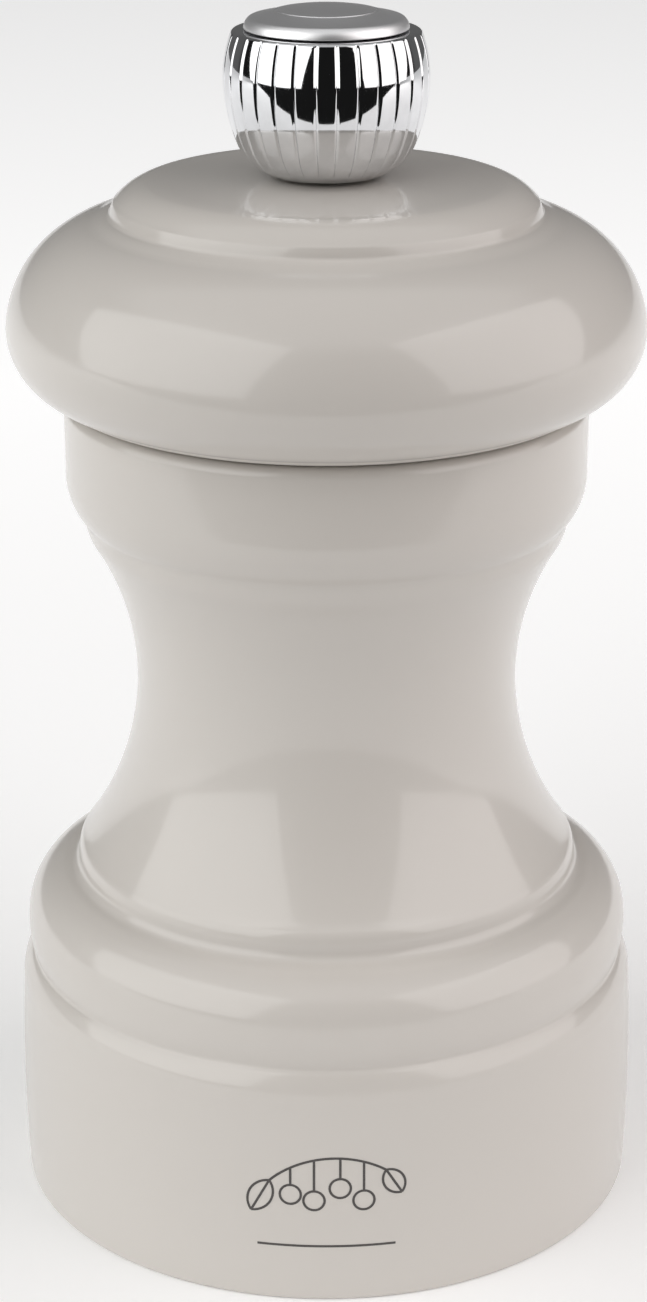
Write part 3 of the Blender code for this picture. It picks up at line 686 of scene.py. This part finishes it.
def body_outline(wood):
    """The body's outline, from the foot up the outside and back down the bores."""
    base = wood.base_radius / MM
    neck = wood.neck_radius / MM
    collar = wood.collar_radius / MM
    top = high("body")
    points = [(RECESS_RADIUS + 0.6, 0.0), (base - 0.4, 0.0)]
    points += arc(points[-1], (base - 0.12, 0.12), (base - 0.02, 0.42), 6)
    points += arc(points[-1], (base + 0.22, 9.0), (base, 17.6), 14)
    # the shoulder of the base, the cove over it and the rounded ring
    points += arc(points[-1], (25.93, 19.1), (25.38, 20.1), 8)
    points += arc(points[-1], (25.22, 20.28), (25.2, 20.5), 4)
    points += arc(points[-1], (25.58, 22.5), (25.45, 24.3), 12)
    points += arc(points[-1], (24.6, 26.1), (22.9, 27.35), 14)
    points += arc(points[-1], (22.45, 27.55), (22.0, 27.66), 3)
    # the step between the ring and the foot of the bell
    points += arc(points[-1], (21.4, 27.95), (21.12, 28.5), 7)
    points += arc(points[-1], (21.15, 29.1), (21.08, 29.5), 3)
    points += arc(points[-1], (20.92, 29.92), (20.62, 30.3), 6)
    points += arc(points[-1], (17.72, 35.6), (neck, 44.1), 26)
    points += arc(points[-1], (16.9, 51.4), (19.55, 57.2), 20)
    points += arc(points[-1], (19.86, 58.0), (20.05, 58.9), 4)
    points += arc(points[-1], (21.1, 60.6), (collar - 0.05, 63.1), 10)
    points += [(collar, top - 0.85)]
    points += arc(points[-1], (collar - 0.25, top - 0.25), (collar - 0.85, top), 7)
    return points


def bore_outline():
    """The bores inside the body, from the mouth down."""
    top = high("body")
    points = [(MOUTH + 0.5, top), (MOUTH, top - 0.5), (MOUTH, MOUTH_FLOOR), (CHAMBER + 1.0, MOUTH_FLOOR)]
    points += [(CHAMBER, MOUTH_FLOOR - 1.0), (CHAMBER, LEDGE), (LOWER_BORE, LEDGE), (LOWER_BORE, RECESS_TOP)]
    points += [(RECESS_RADIUS, RECESS_TOP), (RECESS_RADIUS, 0.6)]
    return points


def line_bare_wood(obj, inside):
    """Gives the faces that inside() picks the bare wood finish."""
    obj.data.materials.append(finish(bare_beech))
    for face in obj.data.polygons:
        centre = face.center
        if inside(math.hypot(centre.x, centre.y) / MM, centre.z / MM):
            face.material_index = 1


def make_body():
    """The lacquered body, bare inside."""
    wood = settings("mill_wood")
    outline = body_outline(wood) + eased(bore_outline(), 0.25)
    body = turned("lacquered_body", outline, finish(gloss_lacquer), FINE)
    line_bare_wood(body, lambda r, z: r < MOUTH + 0.05 and (z > RECESS_TOP - 0.1 and r < RECESS_RADIUS - 0.1))
    attach(body, "base", "lacquered_wood", "body")


def head_outline(wood):
    """The head's outline, from its seam up the outside to the knob."""
    widest = wood.head_radius / MM
    foot = high("body") + 0.3
    points = [(21.2, foot)]
    points += arc(points[-1], (21.7, foot + 0.08), (22.1, foot + 0.4), 5)
    points += arc(points[-1], (25.05, 71.75), (widest, 74.9), 18)
    points += arc(points[-1], (24.05, 80.1), (19.0, 83.35), 30)
    # the small step up to the top, and the rounded rim of the top
    points += arc(points[-1], (18.4, 83.62), (17.85, 83.85), 3)
    points += arc(points[-1], (17.5, 84.03), (17.38, 84.35), 6)
    points += [(17.2, 84.82)]
    points += arc(points[-1], (17.14, 84.94), (17.02, 85.05), 3)
    points += arc(points[-1], (16.2, 85.78), (14.4, 86.5), 12)
    points += arc(points[-1], (9.0, 86.75), (3.3, high("head")), 8)
    return points


def make_head():
    """The lacquered head, with its bare spigot and bore."""
    outline = head_outline(settings("mill_wood"))
    bore = [(3.0, high("head") - 0.3), (3.0, 80.5), (3.9, 80.5), (3.9, low("head") + 0.3), (4.2, low("head"))]
    bore += [(15.2, low("head")), (15.7, low("head") + 0.5), (15.7, high("body") + 0.3)]
    head = turned("lacquered_head", outline + eased(bore, 0.2), finish(gloss_lacquer), FINE)
    seam = high("body") + 0.31
    line_bare_wood(head, lambda r, z: r < 3.95 or z < seam and r < 15.8)
    attach(head, "head_unit", "lacquered_wood", "head")


def make_knob():
    """The fluted chrome knob, with its seat for the cap and its pocket."""
    knob = settings("mill_knob")
    widest = knob.radius / MM
    foot = low("knob")
    top = high("knob")
    points = [(3.9, foot + 0.1), (4.1, foot), (4.5, foot)]
    points += arc(points[-1], (4.8, foot + 0.06), (5.05, foot + 0.22), 4)
    points += arc(points[-1], (6.4, 88.4), (7.25, 89.8), 14)
    points += arc(points[-1], (8.0, 92.3), (widest, 94.9), 24)
    points += arc(points[-1], (widest - 0.16, 96.6), (widest - 0.66, top - 0.25), 18)
    points += arc(points[-1], (widest - 0.77, top - 0.07), (widest - 0.95, top), 5)
    points += [(6.6, top), (4.9, top), (4.8, top - 0.1), (4.8, 97.8), (0.0, 97.8)]
    outline = points + [(0.0, 96.8), (3.9, 96.8)]
    fluting = {
        "starts": float(knob.flutes), "turns_per_metre": 0.0, "depth": knob.flute_depth,
        "share": knob.flute_share, "low": (foot + 0.4) * MM, "high": top * MM, "fade": 0.35 * MM,
        "inner_radius": 5.0 * MM, "outer_radius": 20 * MM}
    steps = knob.flutes * STEPS_PER_FLUTE
    made = turned("fluted_knob", outline, finish(polished_chrome), steps, [fluting])
    attach(made, "knob_unit", "polished_chrome", "knob")


def make_knob_fittings():
    """The satin cap with its polished edge, the threaded insert and the friction washer."""
    seat = high("knob") + 0.12
    top = high("knob_cap")
    cap = [(0.0, low("knob_cap")), (4.4, low("knob_cap")), (4.5, low("knob_cap") + 0.1), (4.5, seat), (6.5, seat)]
    cap += arc(cap[-1], (6.57, seat + 0.03), (6.58, seat + 0.1), 3)
    cap += arc(cap[-1], (6.46, seat + 0.5), (6.22, seat + 0.8), 6)
    cap += arc(cap[-1], (6.08, seat + 0.88), (5.9, seat + 0.92), 4)
    cap += arc(cap[-1], (4.8, top - 0.6), (4.12, top - 0.4), 6)
    cap += arc(cap[-1], (4.02, top - 0.43), (3.92, top - 0.35), 4)
    cap += arc(cap[-1], (2.0, top - 0.08), (0.0, top), 8)
    made = turned("etched_cap", cap, finish(satin_chrome), MEDIUM)
    made.data.materials.append(finish(polished_chrome))
    for face in made.data.polygons:
        if math.hypot(face.center.x, face.center.y) > 6.2 * MM:
            face.material_index = 1
    attach(made, "knob_unit", "satin_chrome", "knob_cap")

    foot = low("knob_insert")
    top = high("knob_insert")
    rows = 80
    bore = [(2.75, top - 0.3 - (top - foot - 0.6) * i / rows) for i in range(rows + 1)]
    insert = [(3.0, foot), (3.6, foot), (3.6, top), (3.0, top)] + bore
    thread = {
        "starts": -1.0, "turns_per_metre": 1 / (THREAD_PITCH * MM), "depth": -0.28 * MM, "share": 0.9,
        "low": foot * MM, "high": top * MM, "fade": 0.8 * MM, "inner_radius": 0.0, "outer_radius": 2.8 * MM}
    made = turned("threaded_insert", insert, finish(machined_brass), MEDIUM, [thread])
    attach(made, "knob_unit", "brass", "knob_insert")

    foot = low("knob_washer")
    top = high("knob_washer")
    ring = eased([(2.85, foot), (3.6, foot), (3.6, top), (2.85, top)], 0.15)
    made = turned("friction_washer", ring, finish(moulded_nylon), MEDIUM)
    attach(made, "knob_seat", "nylon", "knob_washer")


def ring_section(side, corner, height, steps):
    """Points of a rounded square at one height, one for each even angle."""
    points = []
    for i in range(steps):
        angle = math.tau * i / steps
        c, s = abs(math.cos(angle)), abs(math.sin(angle))
        flat = side / 2 / max(c, s)
        # distance to the corner's arc, where the ray meets it
        k = side / 2 - corner
        b = k * (c + s)
        inner = b * b - 2 * k * k + corner * corner
        curve = b + math.sqrt(max(inner, 0.0))
        radius = curve if min(c, s) * flat > k else flat
        points.append((radius * math.cos(angle), radius * math.sin(angle), height))
    return points


def make_shaft():
    """The square shaft with its threaded top and grooved foot."""
    foot = low("shaft")
    top = high("shaft")
    steps = 96
    sections = []
    turned_foot = ((1.9, foot), (2.2, foot + 0.3), (2.2, 1.9), (1.6, 1.9), (1.6, 2.9), (2.2, 2.9), (2.2, 4.1))
    for radius, height in turned_foot:
        sections.append([(x, y, height) for x, y in circle(radius, steps)])
    for side, height in ((4.5, 4.1), (4.8, 4.35), (4.8, 78.6), (4.5, 79.0)):
        sections.append(ring_section(side, 0.3, height, steps))
    sections.append([(x, y, 79.0) for x, y in circle(2.1, steps)])
    rows = 200
    start, end = 79.4, top - 0.6
    for i in range(rows + 1):
        height = start + (end - start) * i / rows
        ring = []
        for k in range(steps):
            turn = k / steps
            wave = abs((height / THREAD_PITCH - turn) % 1.0 - 0.5) * 2
            fade = min(1.0, i / 12, (rows - i) / 12)
            radius = 2.15 + 0.3 * wave * fade
            ring.append((radius * math.cos(math.tau * turn), radius * math.sin(math.tau * turn), height))
        sections.append(ring)
    sections.append([(x, y, top) for x, y in circle(1.7, steps)])
    bm = bmesh.new()
    loops = [[bm.verts.new((x * MM, y * MM, z * MM)) for x, y, z in section] for section in sections]
    for lower, upper in zip(loops, loops[1:]):
        for i in range(steps):
            j = (i + 1) % steps
            bm.faces.new((lower[i], lower[j], upper[j], upper[i]))
    bm.faces.new(loops[0])
    bm.faces.new(loops[-1])
    mesh = bpy.data.meshes.new("square_shaft")
    bm.to_mesh(mesh)
    bm.free()
    mesh.materials.append(finish(drawn_aluminium))
    made = settled(new_object("shaft_blank", mesh), "square_shaft")
    attach(made, "shaft_unit", "aluminium", "shaft")


def make_burrs():
    """The burr cone with helical teeth and the toothed burr ring."""
    mechanism = settings("mill_mechanism")
    foot = low("burr_cone")
    top = high("burr_cone")
    rows = 30
    cone = [(3.6, foot), (8.6, foot)]
    for i in range(rows + 1):
        share = i / rows
        cone.append((8.9 - 3.4 * share ** 1.6, foot + 0.3 + (top - foot - 0.6) * share))
    cone += [(5.2, top), (3.6, top)]
    teeth = {
        "starts": float(mechanism.cone_teeth), "turns_per_metre": -2.0 / (CONE_TURN * MM), "depth": 1.1 * MM,
        "share": 0.95, "low": (foot - 0.5) * MM, "high": (top + 1.0) * MM, "fade": 1.0 * MM,
        "inner_radius": 4.6 * MM, "outer_radius": 20 * MM}
    made = turned("grinding_cone", cone, finish(burr_steel), mechanism.cone_teeth * 16, [teeth])
    hole(made, rounded_square(5.4, 0.4), foot - 1, top + 1, finish(burr_steel))
    attach(settled(made, "grinding_cone", sharp=40.0), "shaft_unit", "hardened_steel", "burr_cone")

    foot = low("burr_ring")
    top = high("burr_ring")
    outer = reach("burr_ring")
    wall = [(10.9, top), (8.95, foot + 5.2), (8.95, foot + 3.2), (9.65, foot)]
    inner = []
    for (r0, z0), (r1, z1) in zip(wall, wall[1:]):
        inner += [(r0 + (r1 - r0) * k / 8, z0 + (z1 - z0) * k / 8) for k in range(8)]
    inner.append(wall[-1])
    ring = [(outer - 0.2, foot), (outer, foot + 0.2), (outer, top - 0.2), (outer - 0.2, top)] + inner
    teeth = {
        "starts": float(mechanism.ring_teeth), "turns_per_metre": 0.0, "depth": -0.9 * MM,
        "share": 0.9, "low": (foot - 2.0) * MM, "high": (top + 2.0) * MM, "fade": 1.0 * MM,
        "inner_radius": 0.0, "outer_radius": 11.2 * MM}
    made = turned("grinding_ring", ring, finish(burr_steel), mechanism.ring_teeth * 12, [teeth])
    attach(made, "base", "hardened_steel", "burr_ring")


def make_housing():
    """The stamped cup that holds the burr ring."""
    outer = reach("mechanism_housing")
    flange_foot = low("mechanism_housing")
    flange_top = flange_foot + 0.8
    top = high("mechanism_housing")
    outline = [(12.9, flange_foot + 0.5)]
    outline += arc(outline[-1], (13.05, flange_foot + 0.15), (13.4, flange_foot), 5)
    outline += [(outer - 0.25, flange_foot)]
    outline += arc(outline[-1], (outer, (flange_foot + flange_top) / 2), (outer - 0.25, flange_top), 8)
    outline += [(14.1, flange_top)]
    outline += arc(outline[-1], (13.82, flange_top + 0.12), (13.7, flange_top + 0.4), 5)
    outline += [(13.7, top - 0.9)]
    outline += arc(outline[-1], (13.44, top - 0.26), (12.8, top), 6)
    outline += [(11.0, top), (10.9, top - 0.1), (10.9, top - 0.8), (12.6, top - 0.8), (12.9, top - 1.1)]
    made = turned("housing_cup", outline, finish(zinc_steel), FINE)
    for i in range(3):
        angle = math.pi / 2 + math.tau * i / 3
        centre = (16.2 * math.cos(angle), 16.2 * math.sin(angle))
        hole(made, circle(1.3, 32, centre), flange_foot - 1, flange_top + 1, finish(zinc_steel))
    attach(settled(made, "housing_cup"), "base", "plain_steel", "mechanism_housing")


def make_bridge():
    """The stamped bridge and the guide bush in it."""
    top = high("bridge")
    thick = 0.9
    span = reach("bridge")
    steel = finish(zinc_steel)
    strip = [(-span, -4.0), (span, -4.0), (span, 4.0), (-span, 4.0)]
    bridge = plate("bridge_blank", strip, top - thick, top, steel, edge=0)
    combine(bridge, plate("boss", circle(7.4, 64), top - thick, top, steel, edge=0), "UNION")
    for side in (-1, 1):
        x0, x1 = sorted((side * (span - thick), side * span))
        leg = [(x0, -4.0), (x1, -4.0), (x1, 4.0), (x0, 4.0)]
        combine(bridge, plate("leg", leg, low("bridge"), top - 0.1, steel, edge=0), "UNION")
    hole(bridge, circle(4.9, 64), top - thick - 1, top + 1, steel)
    bevel = bridge.modifiers.new("edge", "BEVEL")
    bevel.width = 0.15 * MM
    bevel.segments = 2
    bevel.limit_method = "ANGLE"
    bevel.angle_limit = math.radians(50)
    attach(settled(bridge, "stamped_bridge"), "base", "plain_steel", "bridge")

    foot = low("bush")
    seat = top + 0.3
    crown = high("bush")
    outline = [(3.7, foot), (4.6, foot), (4.6, seat), (6.4, seat), (6.4, crown), (3.7, crown)]
    made = turned("guide_bush", eased(outline, 0.15), finish(moulded_nylon), MEDIUM)
    attach(made, "base", "nylon", "bush")


def make_washers():
    """The spring seat, the washer under the cone and the clip on the foot."""
    foot = low("thrust_washer")
    top = high("thrust_washer")
    seat = turned("seat_blank", eased([(0.0, foot), (6.8, foot), (6.8, top), (0.0, top)], 0.15),
                  finish(zinc_steel), MEDIUM)
    hole(seat, rounded_square(5.4, 0.3), foot - 1, top + 1, finish(zinc_steel))
    attach(settled(seat, "spring_seat"), "rotor", "plain_steel", "thrust_washer")

    foot = low("shaft_washer")
    top = high("shaft_washer")
    ring = eased([(2.5, foot), (5.2, foot), (5.2, top), (2.5, top)], 0.12)
    attach(turned("foot_washer", ring, finish(zinc_steel), MEDIUM), "shaft_unit", "plain_steel", "shaft_washer")

    foot = low("shaft_circlip")
    top = high("shaft_circlip")
    clip = turned("clip_blank", eased([(1.9, foot), (3.7, foot), (3.7, top), (1.9, top)], 0.08),
                  finish(burr_steel), MEDIUM)
    hole(clip, [(-1.2, -5.0), (1.2, -5.0), (1.5, 0.0), (-1.5, 0.0)], foot - 1, top + 1, finish(burr_steel))
    attach(settled(clip, "foot_clip"), "shaft_unit", "hardened_steel", "shaft_circlip")


def make_spring():
    """The compression spring. It stays a little short at the top, so that it clears its seat at every setting."""
    wire = 0.5
    foot = low("spring") + wire
    top = low("thrust_washer") - 0.75 - wire
    blank = new_object("spring_blank", bpy.data.meshes.new("spring_blank"))
    grow(blank, coil_tree, turns=settings("mill_mechanism").spring_turns, radius=4.35 * MM, wire=wire * MM,
         low=foot * MM, height=(top - foot) * MM, material=finish(spring_wire))
    attach(settled(blank, "coil_spring"), "shaft_unit", "spring_steel", "spring")


def make_drive_plate():
    """The plate under the head that turns the shaft."""
    foot = low("drive_plate")
    top = high("drive_plate")
    steel = finish(zinc_steel)
    outline = [(0.0, foot), (10.75, foot)]
    outline += arc(outline[-1], (10.98, (foot + top) / 2), (10.75, top), 6)
    outline += [(0.0, top)]
    made = turned("drive_blank", outline, steel, MEDIUM)
    hole(made, rounded_square(5.4, 0.3), foot - 1, top + 1, steel)
    for side in (-1, 1):
        hole(made, circle(1.2, 32, (side * 7.8, 0.0)), foot - 1, top + 1, steel)
    attach(settled(made, "square_drive_plate"), "head_unit", "plain_steel", "drive_plate")


def make_screws(name, nodes, count, circle_radius, start, head_radius, shank_radius, body):
    """A ring of cross-head screws with threaded shanks, seen from below."""
    foot = low(nodes[0])
    seat = foot + 0.5 * head_radius
    top = high(nodes[0])
    outline = [(0.0, foot), (0.55 * head_radius, foot)]
    outline += arc(outline[-1], (0.88 * head_radius, foot + 0.16 * head_radius), (head_radius, seat - 0.1), 8)
    outline += [(head_radius - 0.08, seat), (shank_radius, seat)]
    rows = 60
    outline += [(shank_radius, seat + (top - 1.2 - seat) * i / rows) for i in range(1, rows + 1)]
    outline += [(0.15, top - 0.05), (0.0, top)]
    thread = {
        "starts": -1.0, "turns_per_metre": 1 / (SCREW_PITCH * MM), "depth": 0.28 * MM, "share": 0.7,
        "low": (seat + 0.6) * MM, "high": (top - 0.9) * MM, "fade": 0.5 * MM,
        "inner_radius": 0.0, "outer_radius": (shank_radius + 0.05) * MM}
    steel = finish(zinc_steel)
    blank = turned("screw_blank", outline, steel, 48, [thread])
    wide, narrow = 0.5 * head_radius, 0.11 * head_radius
    for length, width in ((wide, narrow), (narrow, wide)):
        corners = [(-length, -width), (length, -width), (length, width), (-length, width)]
        hole(blank, corners, foot - 1, foot + 0.28 * head_radius, steel)
    grow(blank, ring_of_tree, count=count, radius=circle_radius * MM, start=start, material=steel)
    attach(settled(blank, name), body, "plain_steel", *nodes)


# The printed mark: a plain sprig of peppercorns, drawn in thin lines on the front of the base

def stroke(points, width, closed=False):
    """The two sides of a thin line, as pairs of points."""
    pairs = []
    count = len(points)
    for i in range(count):
        if closed:
            before, after = Vector(points[i - 1]), Vector(points[(i + 1) % count])
        else:
            before, after = Vector(points[max(i - 1, 0)]), Vector(points[min(i + 1, count - 1)])
        along = (after - before).normalized()
        side = Vector((-along.y, along.x)) * width / 2
        here = Vector(points[i])
        pairs.append((here + side, here - side))
    return pairs


def make_mark():
    """A sprig with two leaves and hanging peppercorns over a plain rule, wrapped on the base."""
    wall = [(r, z) for r, z in body_outline(settings("mill_wood")) if r > 25.5 and z < 18.5]
    line = 0.2
    film = 0.02
    middle = 8.7
    strokes = []
    stem = [(-4.6, 2.2)] + arc((-4.6, 2.2), (0.0, 4.3), (4.8, 3.1), 24)
    strokes.append((stem, False))
    for x, z, drop in ((-2.9, 3.35, 2.3), (-1.0, 4.15, 3.6), (1.1, 4.25, 2.6), (3.0, 3.85, 3.3)):
        radius = 0.85
        centre = (x, z - drop)
        strokes.append(([(x, z), (x, z - drop / 2), (x, centre[1] + radius)], False))
        ring = [(centre[0] + radius * math.cos(math.tau * k / 28), centre[1] + radius * math.sin(math.tau * k / 28))
                for k in range(28)]
        strokes.append((ring, True))
    for tip, root, swell in (((-6.1, -0.6), (-4.6, 2.2), 0.95), ((6.1, 1.0), (4.8, 3.1), 0.85)):
        a, b = Vector(root), Vector(tip)
        side = Vector((-(b - a).y, (b - a).x)).normalized() * swell
        mid = (a + b) / 2
        left = [tuple(a)] + arc(tuple(a), tuple(mid + side), tuple(b), 14)
        right = [tuple(a)] + arc(tuple(a), tuple(mid - side), tuple(b), 14)
        strokes += [(left, False), (right, False), ([tuple(a), tuple(mid), tuple(b)], False)]
    strokes.append(([(-5.6 + 11.2 * k / 24, -3.6) for k in range(25)], False))
    bm = bmesh.new()
    for points, closed in strokes:
        rows = []
        for left, right in stroke(points, line, closed):
            row = []
            for lift in (0.004, film):
                for p in (left, right):
                    height = middle + p.y
                    radius = radius_at(wall, height) + lift
                    angle = p.x / radius - math.pi / 2
                    across, deep = radius * math.cos(angle), radius * math.sin(angle)
                    row.append(bm.verts.new((across * MM, deep * MM, height * MM)))
            rows.append([row[0], row[1], row[3], row[2]])
        spans = list(zip(rows, rows[1:])) + ([(rows[-1], rows[0])] if closed else [])
        for first, second in spans:
            for k in range(4):
                n = (k + 1) % 4
                bm.faces.new((first[k], first[n], second[n], second[k]))
        if not closed:
            bm.faces.new(rows[0])
            bm.faces.new(rows[-1])
    mesh = bpy.data.meshes.new("mark")
    bm.to_mesh(mesh)
    bm.free()
    mesh.materials.append(finish(pad_ink))
    mark = settled(new_object("mark_blank", mesh), "printed_mark")
    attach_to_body(mark, "base")


def radius_at(side, height):
    """The radius at one height of the side that (radius, height) points give."""
    for (r0, z0), (r1, z1) in zip(side, side[1:]):
        if z0 <= height <= z1:
            return r0 + (r1 - r0) * (height - z0) / (z1 - z0)
    raise RuntimeError("the mark reaches past the side of the base")


# Stage

def soft_panel(name, azimuth, foot, top, towards_front, towards_back, power, colour):
    """A soft panel that leans over the mill. Foot and top are (distance, height) of its lower and upper edge.

    Azimuth is from the front towards +X, in degrees.
    """
    turn = math.radians(azimuth)
    tangent = Vector((math.cos(turn), math.sin(turn), 0.0)) * math.copysign(1.0, azimuth)
    data = bpy.data.lights.new(name, "AREA")
    data.shape = "RECTANGLE"
    data.size = towards_front + towards_back
    data.size_y = math.hypot(foot[0] - top[0], top[1] - foot[1])
    data.energy = power * data.size * data.size_y
    data.color = colour
    lamp = bpy.data.objects.new(name, data)
    bpy.context.scene.collection.objects.link(lamp)
    distance = (foot[0] + top[0]) / 2
    lamp.location = Vector((math.sin(turn), -math.cos(turn), 0.0)) * distance + tangent * (
        (towards_back - towards_front) / 2) + Vector((0.0, 0.0, (foot[1] + top[1]) / 2))
    lean = math.atan2(foot[0] - top[0], top[1] - foot[1])
    lamp.rotation_euler = Euler((math.radians(90) - lean, 0.0, turn))
    lamp.visible_camera = False
    return lamp


def studio_world(stage):
    """White to the camera. To the mill it is white behind, grey above and dark in front."""
    world = bpy.data.worlds.new("studio")
    bpy.context.scene.world = world
    world.use_nodes = True
    tree = world.node_tree
    background = tree.nodes["Background"]
    parts = add(tree, "ShaderNodeSeparateXYZ", {0: add(tree, "ShaderNodeTexCoord").outputs["Generated"]})
    levels = {}
    for name, value in (("back_level", stage.backdrop), ("top_level", stage.ceiling),
                        ("front_level", stage.room), ("seen_level", 1.0)):
        level = add(tree, "ShaderNodeValue", name=name)
        level.outputs[0].default_value = value
        levels[name] = level.outputs[0]
    above = add(tree, "ShaderNodeMapRange", {
        "Value": parts.outputs["Z"], "From Min": 0.62, "From Max": 0.80,
        "To Min": levels["front_level"], "To Max": levels["top_level"]}, interpolation_type="SMOOTHSTEP")
    behind = add(tree, "ShaderNodeMapRange", {
        "Value": parts.outputs["Y"], "From Min": 0.32, "From Max": 0.48,
        "To Min": above.outputs[0], "To Max": levels["back_level"]}, interpolation_type="SMOOTHSTEP")
    path = add(tree, "ShaderNodeLightPath")
    seen = add(tree, "ShaderNodeMath", {0: path.outputs["Is Camera Ray"], 1: levels["seen_level"]},
               operation="MULTIPLY")
    level = add(tree, "ShaderNodeMath", {0: behind.outputs[0], 1: seen.outputs[0]}, operation="MAXIMUM")
    tree.links.new(level.outputs[0], background.inputs["Strength"])
    background.inputs["Color"].default_value = (1.0, 1.0, 1.0, 1.0)


def make_stage():
    """Pale floor, two soft panels, the room round them and the camera."""
    stage = settings("mill_stage")
    scene = bpy.context.scene
    scene.view_settings.view_transform = "Standard"

    corners = [(-1.6, -0.16, TABLE_HEIGHT), (1.6, -0.16, TABLE_HEIGHT), (1.6, 2.4, TABLE_HEIGHT),
               (-1.6, 2.4, TABLE_HEIGHT)]
    mesh = bpy.data.meshes.new("floor")
    mesh.from_pydata(corners, [], [(0, 1, 2, 3)])
    floor = new_object("floor", mesh)
    material, tree, shader, place = start_material("pale_floor")
    shader.inputs["Base Color"].default_value = (*stage.floor, 1.0)
    shader.inputs["Roughness"].default_value = 0.9
    # a faint glow lifts the floor to white, more behind the mill than in front of it
    parts = add(tree, "ShaderNodeSeparateXYZ", {0: place})
    glow = add(tree, "ShaderNodeMapRange", {
        "Value": parts.outputs["Y"], "From Min": GLOW_FROM, "From Max": GLOW_TO, "To Min": GLOW_FRONT,
        "To Max": GLOW_BACK})
    shader.inputs["Emission Color"].default_value = (1.0, 1.0, 1.0, 1.0)
    tree.links.new(glow.outputs[0], shader.inputs["Emission Strength"])
    mesh.materials.append(material)

    soft_panel("left_panel", -50, (0.70, 0.03), (0.40, 0.56), 0.29, 0.62, stage.left_panel, (1.0, 1.0, 0.99))
    soft_panel("right_panel", 62, (0.70, 0.03), (0.36, 0.52), 0.25, 0.50, stage.right_panel, (1.0, 0.96, 0.95))
    studio_world(stage)

    camera_data = bpy.data.cameras.new("camera")
    camera_data.lens = stage.lens
    camera_data.shift_x = -0.0023
    camera_data.shift_y = -0.09985
    camera_data.clip_start = 0.01
    camera = bpy.data.objects.new("camera", camera_data)
    scene.collection.objects.link(camera)
    camera.location = (0.0, -0.24635, 0.13818)
    camera.rotation_euler = Euler((math.radians(90 - 18.085), 0.0, 0.0))
    scene.camera = camera


# Operators

class MILL_OT_body(bpy.types.Operator):
    """Make the lacquered body"""
    bl_idname = "mill.body"
    bl_label = "Body"

    def execute(self, context):
        make_body()
        return {"FINISHED"}


class MILL_OT_head(bpy.types.Operator):
    """Make the lacquered head"""
    bl_idname = "mill.head"
    bl_label = "Head"

    def execute(self, context):
        make_head()
        return {"FINISHED"}


class MILL_OT_knob(bpy.types.Operator):
    """Make the fluted knob and its cap, insert and washer"""
    bl_idname = "mill.knob"
    bl_label = "Knob"

    def execute(self, context):
        make_knob()
        make_knob_fittings()
        return {"FINISHED"}


class MILL_OT_shaft(bpy.types.Operator):
    """Make the shaft, its washers and its clip"""
    bl_idname = "mill.shaft"
    bl_label = "Shaft"

    def execute(self, context):
        make_shaft()
        make_washers()
        return {"FINISHED"}


class MILL_OT_burrs(bpy.types.Operator):
    """Make the burr cone, the burr ring and the spring"""
    bl_idname = "mill.burrs"
    bl_label = "Burrs and spring"

    def execute(self, context):
        make_burrs()
        make_spring()
        return {"FINISHED"}


class MILL_OT_plates(bpy.types.Operator):
    """Make the housing, the bridge, the bush and the drive plate"""
    bl_idname = "mill.plates"
    bl_label = "Plates"

    def execute(self, context):
        make_housing()
        make_bridge()
        make_drive_plate()
        return {"FINISHED"}


class MILL_OT_screws(bpy.types.Operator):
    """Make the screws of the mechanism and of the drive plate"""
    bl_idname = "mill.screws"
    bl_label = "Screws"

    def execute(self, context):
        names = [f"mechanism_screw_{i}" for i in (1, 2, 3)]
        make_screws("mechanism_screws", names, 3, 16.2, math.pi / 2, 2.1, 1.0, "base")
        names = [f"drive_plate_screw_{i}" for i in (1, 2)]
        make_screws("drive_plate_screws", names, 2, 7.8, 0.0, 1.9, 0.9, "head_unit")
        return {"FINISHED"}


class MILL_OT_mark(bpy.types.Operator):
    """Print the plain sprig on the base"""
    bl_idname = "mill.mark"
    bl_label = "Printed mark"

    def execute(self, context):
        make_mark()
        return {"FINISHED"}


class MILL_OT_stage(bpy.types.Operator):
    """Make the floor, the lights and the camera"""
    bl_idname = "mill.stage"
    bl_label = "Stage"

    def execute(self, context):
        make_stage()
        return {"FINISHED"}


GROUPS = {"mill_wood": MillWood, "mill_knob": MillKnob, "mill_mechanism": MillMechanism, "mill_stage": MillStage}
OPERATORS = (MILL_OT_body, MILL_OT_head, MILL_OT_knob, MILL_OT_shaft, MILL_OT_burrs, MILL_OT_plates,
             MILL_OT_screws, MILL_OT_mark, MILL_OT_stage)


class MILL_PT_panel(bpy.types.Panel):
    """Lists the mill's settings and the buttons that make its pieces"""
    bl_idname = "MILL_PT_panel"
    bl_label = "Pepper Mill"
    bl_space_type = "VIEW_3D"
    bl_region_type = "UI"
    bl_category = "Mill"

    def draw(self, context):
        for name, group in GROUPS.items():
            column = self.layout.column(align=True)
            values = getattr(context.scene, name)
            for key in group.__annotations__:
                column.prop(values, key)
        for operator in OPERATORS:
            self.layout.operator(operator.bl_idname)


def register():
    for name, group in GROUPS.items():
        bpy.utils.register_class(group)
        setattr(bpy.types.Scene, name, bpy.props.PointerProperty(type=group))
    for cls in (*OPERATORS, MILL_PT_panel):
        bpy.utils.register_class(cls)


def unregister():
    for cls in (MILL_PT_panel, *reversed(OPERATORS)):
        bpy.utils.unregister_class(cls)
    for name, group in reversed(GROUPS.items()):
        delattr(bpy.types.Scene, name)
        bpy.utils.unregister_class(group)


def main():
    register()
    for operator in OPERATORS:
        family, name = operator.bl_idname.split(".")
        getattr(getattr(bpy.ops, family), name)()


if __name__ == "__main__":
    main()
